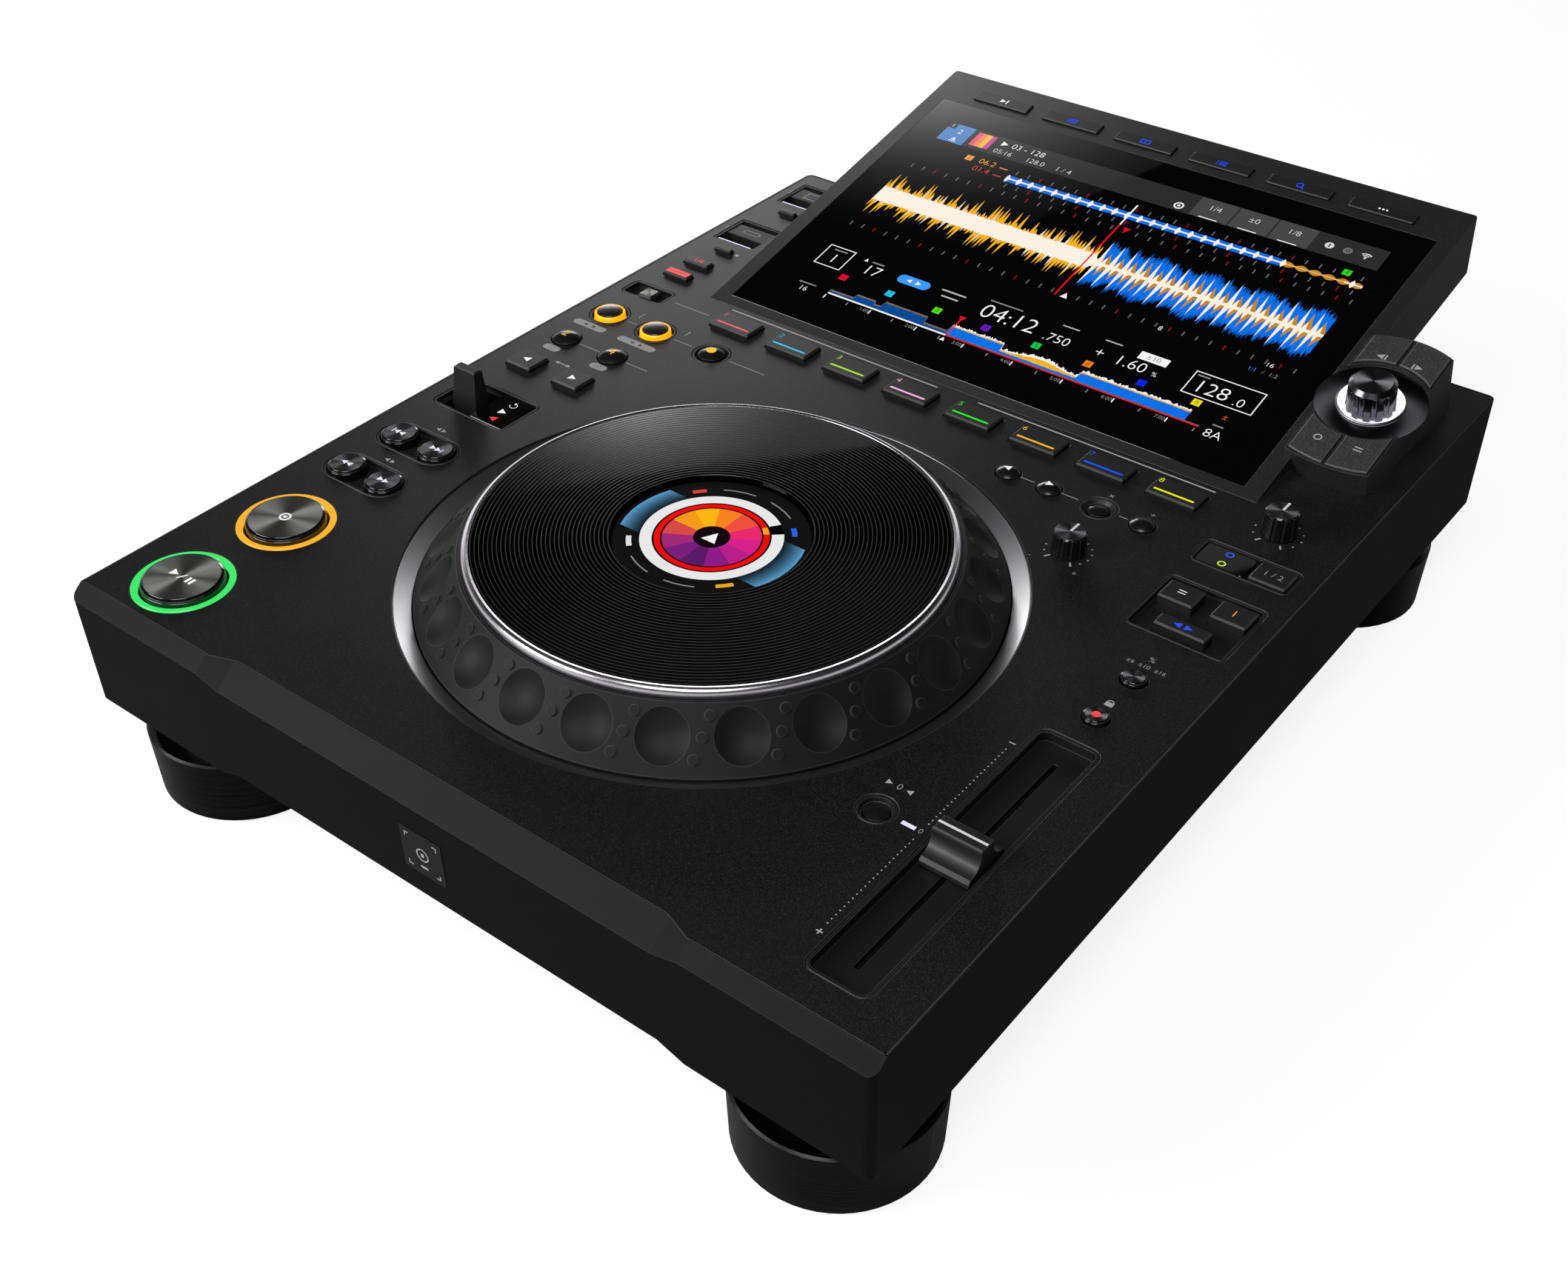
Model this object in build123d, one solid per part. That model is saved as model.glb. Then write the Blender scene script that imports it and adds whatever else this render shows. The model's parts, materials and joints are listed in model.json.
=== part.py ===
"""Desktop DJ media player: jog wheel, tilted touch screen, tempo slider, keys, and four turned feet.

Everything is drawn in millimetres in the deck frame: X to the right, Y from the front edge of the deck to the back,
Z = 0 on the deck. On export each piece is moved so that the origin lies under the middle of the player, on the table.
"""
from build123d import *
import os
from math import atan2, cos, degrees, radians, sin

# ---- casing ----
WIDTH = 329.0             # left to right
DECK_HEIGHT = 81.8        # deck above the table
REAR_WALL = 403.3         # outside of the rear wall
CASE_BOTTOM = -46.84      # lower edge of the casing
FRONT_TOP = -5.12         # front wall where the bevel ends
FRONT_FOOT = -4.12        # front wall at the lower edge
WALL = 3.0
CORNER = 3.0
PANEL_T = 1.6             # inset top panel
FRAME_BOTTOM = -4.6       # underside of the control frame
PANEL_SIDE = 163.7        # half width of the inset panel
PANEL_REAR = 401.6
NOTCH_IN = 90.0           # the bevel and the lower edge step between these two distances from the middle
NOTCH_OUT = 100.0
NOTCH_RISE = 3.5          # how much higher the lower front edge is in the middle
BEVEL_END = (0.2, -4.2)   # top edge and depth of the bevel at the ends
BEVEL_MID = (3.8, -7.0)   # and in the middle
SEAM = 0.8                # rim between the bevel and the inset panel
PLATE_TOP = -41.8         # bottom plate
PLATE_T = 1.5

# ---- feet ----
FEET = [(-130.5, 27.7), (130.5, 27.7), (-130.5, 367.0), (130.5, 367.0)]
FOOT_TOP = -55.5
FOOT_R = 32.8
FOOT_FOOT_R = 32.0
FOOT_NECK_R = 24.0
FOOT_CUP_R = 30.0          # inside of the cup
FOOT_CUP_DEPTH = 4.0
BOLT_R = 3.0
BOLT_HEAD_R = 5.0
BOLT_END = -63.5
PAD_T = 0.8
PAD_R = 30.0

# ---- screen ----
TILT = 12.747             # degrees
FACE_START = 281.84       # where the screen face meets the deck
FACE_LENGTH = 185.0
HOUSING_X = 124.5         # half width
HOUSING_BACK = (466.7, 13.7)
HOUSING_TUB = 398.0       # rear of the part sunk in the deck
TUB_DEPTH = -12.0
SHELL = 2.5
BEZEL_T = 3.0
GLASS = (117.3, 5.3, 163.3)
GLASS_T = 1.1
LCD = (106.5, 15.5, 151.5)
LCD_T = 5.4
SCREEN_KEYS_X = [-90.5, -54.3, -18.1, 18.1, 54.3, 90.5]
SCREEN_KEYS_U = 171.7
SCREEN_KEY = (27.8, 6.6)

# ---- selector pod, in face coordinates ----
POD_X = (121.5, 153.2)
POD_U = (27.0, 97.2)
POD_ARC = (24.5, 101.0)
POD_TOP = 3.2
POD_KEY_TOP = 4.0
DIAL = (137.0, 63.5)
DISH_R = 20.4
DISH_H = 2.0
BEZEL_R = 12.6
GLOW_R = 11.9
RING_BASE = -1.4          # the light ring is a bowl that the knob's foot dips into
BOWL_TOP = (GLOW_R, 2.1)
BOWL_FOOT = (9.9, -0.5)
KNOB_FOOT = (9.1, 0.7)
KNOB_SHOULDER = (8.6, 11.2)
KNOB_TOP = (7.1, 12.7)
KNOB_FLUTE_TOP = 9.9
SHAFT_R = 3.0

# ---- jog wheel ----
JOG = (-0.6, 132.67)
WELL_R = 106.5
DISC_TOP = 16.75
DISC_R = 79.5
DISC_HOLE = 34.0
WEB_TOP = 12.0
WELL_TOP = (106.0, -0.8)  # the well ring slopes from here
WELL_LOW = (100.0, -6.2)  # to here
LIP_R = 83.1              # the cone starts with a narrow flat lip
CONE_TOP = (84.2, 13.75)
CONE_FOOT = (98.5, -1.4)
DIMPLES = 24
DIMPLE_R = 17.9           # radius of the ball that each dimple fits
DIMPLE_DEPTH = 2.4
PIP_R = 1.7
PIP_RISE = 0.65
PIP_SLANT = 1.55          # degrees between one pip and the next in a row of three
HUB_R = 22.0
SPINDLE_R = 14.0
PAN_TOP = -13.0

# ---- tempo slider ----
SLIDER_X = 139.2
SLIDER_Y = 72.4
TRAY = (128.3, 150.1, 11.5, 133.0)
TRAY_FLOOR = -3.5
TRAY_CORNER = 4.0
TRAY_SLOT = 1.9
SLOT = (21.8, 123.7)
RIDGE_TOP = 7.8
RIDGE_HALF = 3.1          # half depth of the ridge
CAP_HALF = (8.3, 9.1)     # half width and half depth of the cap

# ---- deck knobs ----
DECK_KNOB_FOOT = (6.3, 0.5)
DECK_KNOB_TAPER = 0.45
DECK_KNOB_TOP_R = 5.3
DECK_KNOB_TOPS = {"feel_knob": 8.1, "speed_knob": 9.7}
DECK_KNOB_STEM_R = 3.0

# ---- boards ----
BOARD_T = 1.6
STANDOFF_R = 4.0
MAIN_BOARD = (-150.0, 50.0, 262.0, 384.0)
MAIN_BOARD_TOP = -31.4
MAIN_PARTS = [((-20, 20, 300, 340), 2.4), ((-90, -66, 300, 324), 2.6), ((-60, -44, 350, 380), 11.4),
              ((10, 40, 352, 382), 7.4)]
MAIN_STANDOFFS = [(-140, 268), (-140, 330), (40, 268), (40, 330)]
SUPPLY = (66.0, 150.0, 262.0, 376.0)
SUPPLY_TOP = -36.4
SUPPLY_PARTS = [((74, 106, 330, 366), 20.4), ((116, 142, 300, 330), 18.4)]
SUPPLY_STANDOFFS = [(74, 270), (74, 320), (142, 270), (142, 320)]
CAPACITORS = ((82.0, 104.0), 286.0, 8.0, 22.4)   # x places, y, radius, height

# ---- sockets ----
USB_REACH = 11.0          # half length of a well
USB_WALL = 1.1
USB_FRONT = -4.2          # depth at the front of a well
USB_REAR = -18.8          # and at the back
USB_HOOD = (-2.0, 7.4, -4.0, -0.5)
INLET_DEPTH = 16.0
INLET_LIP = 1.5
INLET_MOUTH = (24.0, 16.6)
INLET_PINS = [(-7.0, -2.0), (0.0, 2.0), (7.0, -2.0)]
INLET_PIN = (2.0, 4.0)
PORT_MOUTH = (11.8, 8.2)
PORT_LATCH = (5.0, 2.4)
JACK_BORE_R = 1.7
JACK_NUT = (6.5, 1.6)     # radius and thickness

# ---- fits ----
KEY_GAP = 0.45            # round each key
KEY_CORNER = 0.6
FLANGE = 1.0
KEY_FOOT = -7.0
KEY_FLANGE_TOP = -5.4
RUN_FIT = 0.05            # radial play of turning pieces
DEEP = -20.0              # cutting tools reach from here
HIGH = 5.0                # to here

FACE = Location((0, FACE_START, 0), (TILT, 0, 0))
MIDDLE = (HOUSING_BACK[0] + FRONT_TOP) / 2
JOG_AT = Pos(JOG[0], JOG[1], 0)


# ---- helpers ----
def block(x0, x1, y0, y1, z0, z1):
    """Box between two opposite corners."""
    return Pos((x0 + x1) / 2, (y0 + y1) / 2, (z0 + z1) / 2) * Box(x1 - x0, y1 - y0, z1 - z0)


def along_x(points, x0, x1):
    """Prism whose outline is given as (y, z) points, from x0 to x1."""
    face = Pos(x0, 0, 0) * (Plane.YZ * Polygon(*points, align=None))
    return extrude(face, x1 - x0, dir=(1, 0, 0))


def prism(sketch, z0, z1):
    """Extrude a flat outline from z0 to z1."""
    return extrude(Pos(0, 0, z0) * sketch, z1 - z0, dir=(0, 0, 1))


def tube(r_out, r_in, z0, z1):
    """Ring about the Z axis."""
    ring = Circle(r_out) - Circle(r_in) if r_in else Circle(r_out)
    return prism(ring, z0, z1)


def turned(points):
    """Solid of revolution about Z from (radius, z) points."""
    return revolve(Plane.XZ * Polygon(*points, align=None), Axis.Z)


def soften_top(shape, size):
    """Small chamfer round the highest edges of a key."""
    return chamfer(shape.edges().group_by(Axis.Z)[-1], size)


def rect(x, y, w, d, r=0.6, grow=0.0):
    return Pos(x, y, 0) * RectangleRounded(w + 2 * grow, d + 2 * grow, r + max(grow, 0))


def disc(x, y, r, grow=0.0):
    return Pos(x, y, 0) * Circle(r + grow)


def stadium(x, y, w, d):
    return Pos(x, y, 0) * SlotOverall(w, d)


def group(shapes):
    """Several separate solids kept together in one node."""
    return Compound([s for shape in shapes for s in shape.solids()])


def save(name, shape):
    """Write one node, moved so that the origin is on the table under the middle."""
    export_step(Pos(0, -MIDDLE, DECK_HEIGHT) * shape, f"parts/{name}.step")


# ---- keys: every key of the deck, with its outline, height above the deck and edge ----
# kind, centres, size (width and depth, or radius), top, edge
KEYS = {
    "play_key": ("round", [(-137.1, 20.8)], 14.0, 2.1, 1.1),
    "cue_key": ("round", [(-137.1, 65.1)], 14.0, 2.1, 1.1),
    "search_keys": ("round", [(-147.0, 102.2), (-127.9, 102.2), (-147.2, 128.3), (-128.1, 128.3)], 7.0, 1.6, 0.9),
    "loop_keys": ("skirt", [(-148.0, 245.8), (-123.5, 245.8)], 6.3, 1.3, 1.1),
    "reloop_key": ("dome", [(-94.2, 245.8)], 5.4, 1.7, 1.6),
    "beat_loop_keys": ("dome", [(-148.3, 220.0), (-123.7, 220.0)], 5.8, 2.3, 1.9),
    "dome_keys": ("dome", [(45.0, 245.0), (62.2, 245.0), (99.8, 245.0)], 4.5, 2.0, 1.7),
    "recessed_keys": ("dome", [(82.3, 245.1), (109.9, 72.4)], 3.9, -0.3, 0.8),
    "tempo_keys": ("round", [(139.3, 169.0), (139.3, 146.0)], 4.2, 1.4, 0.5),
    "beat_jump_keys": ("block", [(-147.5, 196.4), (-123.1, 196.4)], (12.8, 11.2), 1.7, 0.6),
}
# keys with a rectangular cap: x, y, width, depth, top, edge
LEFT_KEYS = [(-146.8, 268.9, 7.2, 7.2, 0.5, 0.8), (-147.4, 288.5, 12.6, 5.0, 1.6, 0.6),
             (-147.4, 301.9, 12.6, 5.0, 1.6, 0.6), (-146.5, 318.0, 8.4, 3.0, 1.6, 0.5),
             (-146.5, 363.2, 8.4, 3.0, 1.6, 0.5)]
SYNC_KEYS = [(130.3, 216.7, 12.8, 10.5, 1.6, 0.6), (149.4, 216.7, 12.8, 10.5, 1.6, 0.6),
             (139.4, 200.6, 18.5, 6.2, 1.6, 0.6), (149.6, 244.3, 13.2, 10.6, 1.0, 0.5)]
PAD_PITCH = 28.6
CUE_PADS = [(0.1 + (i - 3.5) * PAD_PITCH, 269.0, 19.6, 11.3, 1.6, 0.6) for i in range(8)]
LOOP_CAP_R = 5.4          # dark cap inside the lit skirt of a loop key

# ---- recesses: openings of the panel, filled by a moulded rim and a floor of the control frame ----
# shape, x, y, width, depth (round ones: radius, radius at the floor)
RECESSES = [
    ("stadium", -137.7, 102.3, 36.4, 17.5),
    ("stadium", -137.9, 128.4, 36.4, 17.5),
    ("rect", -138.15, 164.25, 37.3, 22.5),
    ("rect", -147.8, 269.5, 21.6, 12.0),
    ("rect", 139.4, 245.0, 36.2, 15.0),
    ("rect", 139.4, 209.9, 36.2, 32.8),
    ("round", -148.0, 245.8, 8.6, 7.5),
    ("round", -123.5, 245.8, 8.6, 7.5),
    ("round", -94.2, 245.8, 7.9, 6.2),
    ("round", 82.3, 245.1, 7.0, 4.6),
    ("round", 109.9, 72.4, 6.3, 4.6),
]
RECESS_CORNER = 2.6
RECESS_FLOOR = -2.2
RIM = 1.1                 # width of the rim
RIM_TOP = -0.12
RIM_GAP = 0.14            # shadow line between panel and rim
RIM_EDGE = 0.25
PANEL_EDGE = 0.22         # chamfer round the openings of the panel
RING_R = 17.2             # light rings of the play and cue keys
RING_IN = 15.0
RING_GAP = 0.1
KNOBS = {"feel_knob": (87.35, 216.3), "speed_knob": (139.45, 269.2)}
KNOB_HOLE_R = 3.4
USB_WELLS = [(-148.0, 336.5), (-148.0, 382.0)]
USB_SIZE = (22.2, 22.0)
USB_CORNER = 1.2
POD_OPENING = (129.0, 149.0, 322.0, 372.0)
LEVER_X = -146.0
LEVER_Y = 164.0
LEVER_AXIS_Z = -16.0
LEVER_HALF = 6.0          # half width of the lever
LEVER_SLOT = (-154.0, -138.0)
LEVER_PIN_R = 1.5
EAR_T = 2.5


def key_outline(kind, x, y, size, grow=0.0):
    if kind == "block":
        return rect(x, y, size[0], size[1], KEY_CORNER, grow)
    return disc(x, y, size, grow)


def key(kind, x, y, size, top, edge):
    """One push key: cap, body through the panel, and the flange that holds it in."""
    flange = prism(key_outline(kind, x, y, size, FLANGE), KEY_FOOT, KEY_FLANGE_TOP)
    body = prism(key_outline(kind, x, y, size), KEY_FOOT, top - edge)
    if kind == "dome":
        ball = (size ** 2 + edge ** 2) / (2 * edge)
        cap = Pos(x, y, top - ball) * Sphere(ball) & prism(disc(x, y, size), top - edge, top)
    elif kind == "block":
        narrow = Pos(x, y, top) * RectangleRounded(size[0] - 2 * edge, size[1] - 2 * edge, 0.25)
        cap = loft([Pos(0, 0, top - edge) * key_outline(kind, x, y, size), narrow], ruled=True)
    else:
        cap = loft([Pos(x, y, top - edge) * Circle(size), Pos(x, y, top) * Circle(size - edge)], ruled=True)
    return flange + body + cap


def block_keys(places):
    return [key("block", x, y, (w, d), top, edge) for x, y, w, d, top, edge in places]


def key_holes():
    """Clearance outlines of all keys, for the panel and the frame."""
    holes = [key_outline(kind, x, y, size, KEY_GAP) for kind, places, size, _, _ in KEYS.values() for x, y in places]
    holes += [key_outline("block", x, y, (w, d), KEY_GAP) for x, y, w, d, _, _ in LEFT_KEYS + SYNC_KEYS + CUE_PADS]
    return holes + [disc(x, y, KNOB_HOLE_R) for x, y in KNOBS.values()]


def recess_outline(shape, x, y, w, d, inset=0.0):
    if shape == "round":
        return disc(x, y, w - inset)
    if shape == "stadium":
        return stadium(x, y, w - 2 * inset, d - 2 * inset)
    return Pos(x, y, 0) * RectangleRounded(w - 2 * inset, d - 2 * inset, RECESS_CORNER - inset)


def recess_rim(shape, x, y, w, d):
    """Moulded rim that fills a recess opening of the panel; the round ones slope down like a funnel."""
    recess = (shape, x, y, w, d)
    rim = soften_top(prism(recess_outline(*recess, RIM_GAP), -PANEL_T - 0.5, RIM_TOP), RIM_EDGE)
    if shape == "round":
        funnel = [(0, RECESS_FLOOR - 1), (d, RECESS_FLOOR - 1), (d, RECESS_FLOOR), (w - RIM, RIM_TOP - RIM_EDGE),
                  (w - RIM + 0.1, HIGH), (0, HIGH)]
        return rim - Pos(x, y, 0) * turned(funnel)
    return rim - prism(recess_outline(*recess, RIM), RECESS_FLOOR, HIGH)


def recess_pocket(shape, x, y, w, d):
    inset = w - d if shape == "round" else RIM
    return prism(recess_outline(shape, x, y, w, d, inset), RECESS_FLOOR, HIGH)


def slider_outline():
    x0, x1, y0, y1 = TRAY
    return rect((x0 + x1) / 2, (y0 + y1) / 2, x1 - x0, y1 - y0, TRAY_CORNER)


def shared_openings():
    """Outlines that go through both the panel and the frame."""
    openings = key_holes() + [rect(x, y, *USB_SIZE, USB_CORNER) for x, y in USB_WELLS] + [slider_outline()]
    x0, x1, y0, y1 = POD_OPENING
    return openings + [Pos((x0 + x1) / 2, (y0 + y1) / 2, 0) * Rectangle(x1 - x0, y1 - y0)]


# ---- casing ----
def bevel_cut():
    """Wedge taken off the top front edge; it is deeper in the middle."""
    def wedge(x, bevel):
        corner = (FRONT_TOP - 1, 1)
        slope = bevel[1] / (FRONT_TOP - bevel[0])
        above = (bevel[0] + 1 / slope, 1)
        below = (corner[0], slope * (corner[0] - bevel[0]))
        return Pos(x, 0, 0) * (Plane.YZ * Polygon(above, below, corner, align=None))
    edge = WIDTH / 2 + 1
    stations = [(-edge, BEVEL_END), (-NOTCH_OUT, BEVEL_END), (-NOTCH_IN, BEVEL_MID)]
    stations += [(-x, bevel) for x, bevel in reversed(stations)]
    return loft([wedge(x, bevel) for x, bevel in stations], ruled=True)


def front_face(z):
    """Y of the front wall at height z."""
    return FRONT_TOP + (FRONT_FOOT - FRONT_TOP) * (z - BEVEL_END[1]) / (CASE_BOTTOM - BEVEL_END[1])


def panel_outline(grow=0.0):
    end = BEVEL_END[0] + SEAM - grow
    mid = BEVEL_MID[0] + SEAM - grow
    half = [(PANEL_SIDE + grow, PANEL_REAR + grow), (PANEL_SIDE + grow, end), (NOTCH_OUT - 1, end), (NOTCH_IN - 1, mid)]
    points = half + [(-x, y) for x, y in reversed(half)]
    return Polygon(*points, align=None)


def badge_outline(front, back):
    top, foot = -16.4, -34.0
    return [(front_face(top) + front, top), (front_face(foot) + front, foot),
            (front_face(foot) + back, foot), (front_face(top) + back, top)]


REAR_HOLES = {"power": (-140.0, -25.0, 14.0, 10.0), "mains": (118.0, -26.0, 27.6, 20.2),
              "network": (40.0, -27.0, 16.2, 13.8)}
JACKS = [(-100.0, -26.0), (-82.0, -26.0), (-58.0, -26.0)]
JACK_R = 4.2
VENTS = [(-12.0 + 5.0 * i, -22.0) for i in range(8)]
VENT = (2.0, 16.0)
PLATE_SCREWS = [(x, y) for x in (-157.5, 157.5) for y in (18.0, 110.0, 200.0, 290.0, 385.0)]
BOSS_R = 5.0
BOSS_TOP = -25.0
SCREW_R = 1.5
SCREW_HEAD = (2.8, 1.6)   # radius and height
SCREW_END = -33.0


def rear_prism(x, z, w, h, y0, y1):
    return block(x - w / 2, x + w / 2, y0, y1, z - h / 2, z + h / 2)


def main_case():
    side = [(FRONT_TOP, 0), (front_face(BEVEL_END[1]), BEVEL_END[1]), (FRONT_FOOT, CASE_BOTTOM),
            (REAR_WALL, CASE_BOTTOM), (REAR_WALL, 0)]
    case = along_x(side, -WIDTH / 2, WIDTH / 2)
    upright = [e for e in case.edges() if abs((e @ 1 - e @ 0).Z) > 3]
    case = fillet(upright, CORNER)
    case -= bevel_cut()
    inner = WIDTH / 2 - WALL
    back = REAR_WALL - WALL
    front = FRONT_FOOT + WALL
    ledge = 5.4
    cavity = along_x([(front, -60), (front, -11.0), (ledge, -4.6), (ledge, 1), (back, 1), (back, -60)], -inner, inner)
    case -= cavity
    case -= prism(panel_outline(), -PANEL_T, 1)
    notch = Polygon((-NOTCH_OUT, CASE_BOTTOM), (-NOTCH_IN, CASE_BOTTOM + NOTCH_RISE),
                    (NOTCH_IN, CASE_BOTTOM + NOTCH_RISE), (NOTCH_OUT, CASE_BOTTOM), (NOTCH_OUT, -60),
                    (-NOTCH_OUT, -60), align=None)
    case -= Pos(0, front + 0.5, 0) * extrude(Plane.XZ * notch, 10, both=True) & block(-200, 200, -20, front, -70, 0)
    case -= along_x(badge_outline(-2, 0.8), JOG[0] - 8.85, JOG[0] + 8.85)
    cuts = [rear_prism(*hole, back - 1, REAR_WALL + 1) for hole in REAR_HOLES.values()]
    cuts += [rear_prism(x, z, VENT[0], VENT[1], back - 1, REAR_WALL + 1) for x, z in VENTS]
    cuts += [Pos(x, REAR_WALL - WALL / 2, z) * Rot(90, 0, 0) * Cylinder(JACK_R, WALL + 2) for x, z in JACKS]
    case -= cuts
    bosses = [Pos(x, y, 0) * tube(BOSS_R, SCREW_R, PLATE_TOP, BOSS_TOP) for x, y in PLATE_SCREWS]
    for x, y in PLATE_SCREWS:
        bosses.append(block(*sorted((x, x * inner / abs(x))), y - BOSS_R, y + BOSS_R, BOSS_TOP - 2, BOSS_TOP))
    return case + bosses


def bottom_plate():
    inner = WIDTH / 2 - WALL - 0.2
    plate = block(-inner, inner, FRONT_FOOT + WALL + 0.2, REAR_WALL - WALL - 0.2, PLATE_TOP - PLATE_T, PLATE_TOP)
    holes = [Pos(x, y, PLATE_TOP) * Cylinder(SCREW_R, 10) for x, y in PLATE_SCREWS]
    holes += [Pos(x, y, PLATE_TOP) * Cylinder(BOLT_R, 10) for x, y in FEET]
    return plate - holes


def screen_outline():
    return Pos(0, (FACE_START + HOUSING_TUB) / 2, 0) * Rectangle(2 * HOUSING_X, HOUSING_TUB - FACE_START)


def top_panel():
    panel = prism(panel_outline(), -PANEL_T, 0)
    outlines = shared_openings() + [recess_outline(*recess) for recess in RECESSES]
    outlines += [disc(x, y, RING_R + RING_GAP) for name in ("play_key", "cue_key") for x, y in KEYS[name][1]]
    outlines += [disc(*JOG, WELL_R), screen_outline()]
    panel -= [prism(outline, DEEP, HIGH) for outline in outlines]
    top = panel.faces().sort_by(Axis.Z)[-1]
    rims = [e for wire in top.inner_wires() for e in wire.edges()]
    return chamfer(rims, PANEL_EDGE)


def control_frame():
    """Moulded plate under the panel; it makes the recess rims and floors, guides the keys and carries the lever."""
    inner = WIDTH / 2 - WALL - 0.5
    frame = block(-inner, inner, 7.5, REAR_WALL - WALL - 0.5, FRAME_BOTTOM, -PANEL_T)
    frame -= [recess_pocket(*recess) for recess in RECESSES]
    frame += [recess_rim(*recess) for recess in RECESSES]
    outlines = shared_openings() + [disc(*JOG, WELL_R + 0.6), screen_outline()]
    frame -= [prism(outline, DEEP, HIGH) for outline in outlines]
    left, right = LEVER_SLOT
    frame -= block(left, right, LEVER_Y - 9.5, LEVER_Y + 9.5, DEEP, HIGH)
    for x in (left - EAR_T, right):
        ear = block(x, x + EAR_T, LEVER_Y - 5, LEVER_Y + 5, LEVER_AXIS_Z - 4, FRAME_BOTTOM)
        bore = Pos(x + EAR_T / 2, LEVER_Y, LEVER_AXIS_Z) * Rot(0, 90, 0) * Cylinder(LEVER_PIN_R + RUN_FIT, 6)
        frame += ear - bore
    return frame


def feet():
    floor, end = FOOT_TOP - FOOT_CUP_DEPTH, -DECK_HEIGHT + PAD_T
    profile = [(0, floor), (FOOT_CUP_R, floor), (FOOT_CUP_R + 1.0, FOOT_TOP - 0.9), (FOOT_R - 0.9, FOOT_TOP),
               (FOOT_R, FOOT_TOP - 0.6), (FOOT_FOOT_R, end + 0.6), (FOOT_FOOT_R - 0.6, end), (0, end)]
    cup = turned(profile) + tube(FOOT_NECK_R, 0, floor - 1, PLATE_TOP - PLATE_T) - tube(BOLT_R, 0, BOLT_END - 1, 0)
    return [Pos(x, y, 0) * cup for x, y in FEET]


def foot_pads():
    pad = tube(PAD_R, 0, -DECK_HEIGHT, -DECK_HEIGHT + PAD_T)
    return [Pos(x, y, 0) * pad for x, y in FEET]


def case_screws():
    under = PLATE_TOP - PLATE_T
    small = tube(SCREW_HEAD[0], 0, under - SCREW_HEAD[1], under) + tube(SCREW_R, 0, under, SCREW_END)
    bolt = tube(BOLT_HEAD_R, 0, PLATE_TOP, PLATE_TOP + 3.5) + tube(BOLT_R, 0, BOLT_END, PLATE_TOP)
    return [Pos(x, y, 0) * small for x, y in PLATE_SCREWS] + [Pos(x, y, 0) * bolt for x, y in FEET]


# ---- screen ----
def housing_bottom(y):
    """Height of the housing's underside at depth y, behind the rear wall."""
    slope = HOUSING_BACK[1] / (HOUSING_BACK[0] - HOUSING_TUB)
    return HOUSING_BACK[1] - (HOUSING_BACK[0] - y) * slope


def face_point(u, h=0.0):
    """(y, z) of a point at distance u up the face and h in front of it."""
    t = radians(TILT)
    return (FACE_START + u * cos(t) - h * sin(t), u * sin(t) + h * cos(t))


def screen_housing():
    outline = [(FACE_START, 0), face_point(FACE_LENGTH), HOUSING_BACK, (HOUSING_TUB, 0), (HOUSING_TUB, TUB_DEPTH),
               (FACE_START, TUB_DEPTH)]
    slab = along_x(outline, -HOUSING_X, HOUSING_X)
    front = [e for e in slab.edges() if (e @ 0.5).Y > HOUSING_TUB and abs((e @ 1 - e @ 0).Z) > 5]
    slab = fillet(front, 1.6)
    inner_top = (HOUSING_BACK[0] - 2 * SHELL, face_point(FACE_LENGTH, -BEZEL_T)[1] - 1.0)
    low = (FACE_START + SHELL, TUB_DEPTH - 1)
    cavity = [(FACE_START + SHELL, face_point(SHELL, -BEZEL_T)[1]), inner_top,
              (HOUSING_BACK[0] - SHELL, housing_bottom(HOUSING_BACK[0] - SHELL) - 1), (HOUSING_TUB + 1, -1.5),
              (HOUSING_TUB + 1, TUB_DEPTH - 1), low]
    slab -= along_x(cavity, -HOUSING_X + SHELL, HOUSING_X - SHELL)
    pocket = block(-GLASS[0], GLASS[0], GLASS[1], GLASS[2], -GLASS_T, 5)
    window = block(-LCD[0], LCD[0], LCD[1], LCD[2], -9, 5)
    holes = [prism(rect(x, SCREEN_KEYS_U, *SCREEN_KEY, 0.5, 0.35), -9, 5) for x in SCREEN_KEYS_X]
    slab -= [FACE * cut for cut in [pocket, window] + holes]
    return slab - pod_body()


def screen_back():
    """Cover under the housing: a sloped plate behind the deck and a flat one in the tub."""
    low = housing_bottom
    end = HOUSING_BACK[0] - SHELL - 0.6
    start = FACE_START + SHELL + 0.2
    plate = [(end, low(end)), (HOUSING_TUB, 0), (HOUSING_TUB, TUB_DEPTH), (start, TUB_DEPTH),
             (start, TUB_DEPTH + 2), (HOUSING_TUB - 2, TUB_DEPTH + 2), (HOUSING_TUB - 2, 2.0), (end, low(end) + 2)]
    return along_x(plate, -HOUSING_X + SHELL + 0.2, HOUSING_X - SHELL - 0.2)


def screen_glass():
    plate = block(-GLASS[0], GLASS[0], GLASS[1], GLASS[2], -GLASS_T, 0)
    return FACE * soften_top(plate, 0.15)


def lcd_module():
    gap = 0.2
    return FACE * block(-LCD[0] + gap, LCD[0] - gap, LCD[1] + gap, LCD[2] - gap, -GLASS_T - LCD_T, -GLASS_T)


def screen_keys():
    keys = []
    for x in SCREEN_KEYS_X:
        cap = prism(rect(x, SCREEN_KEYS_U, *SCREEN_KEY, 0.5), -5.5, 1.0)
        lip = prism(rect(x, SCREEN_KEYS_U, *SCREEN_KEY, 0.5, FLANGE), -5.5, -3.9)
        keys.append(FACE * (soften_top(cap, 0.3) + lip))
    return keys


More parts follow.
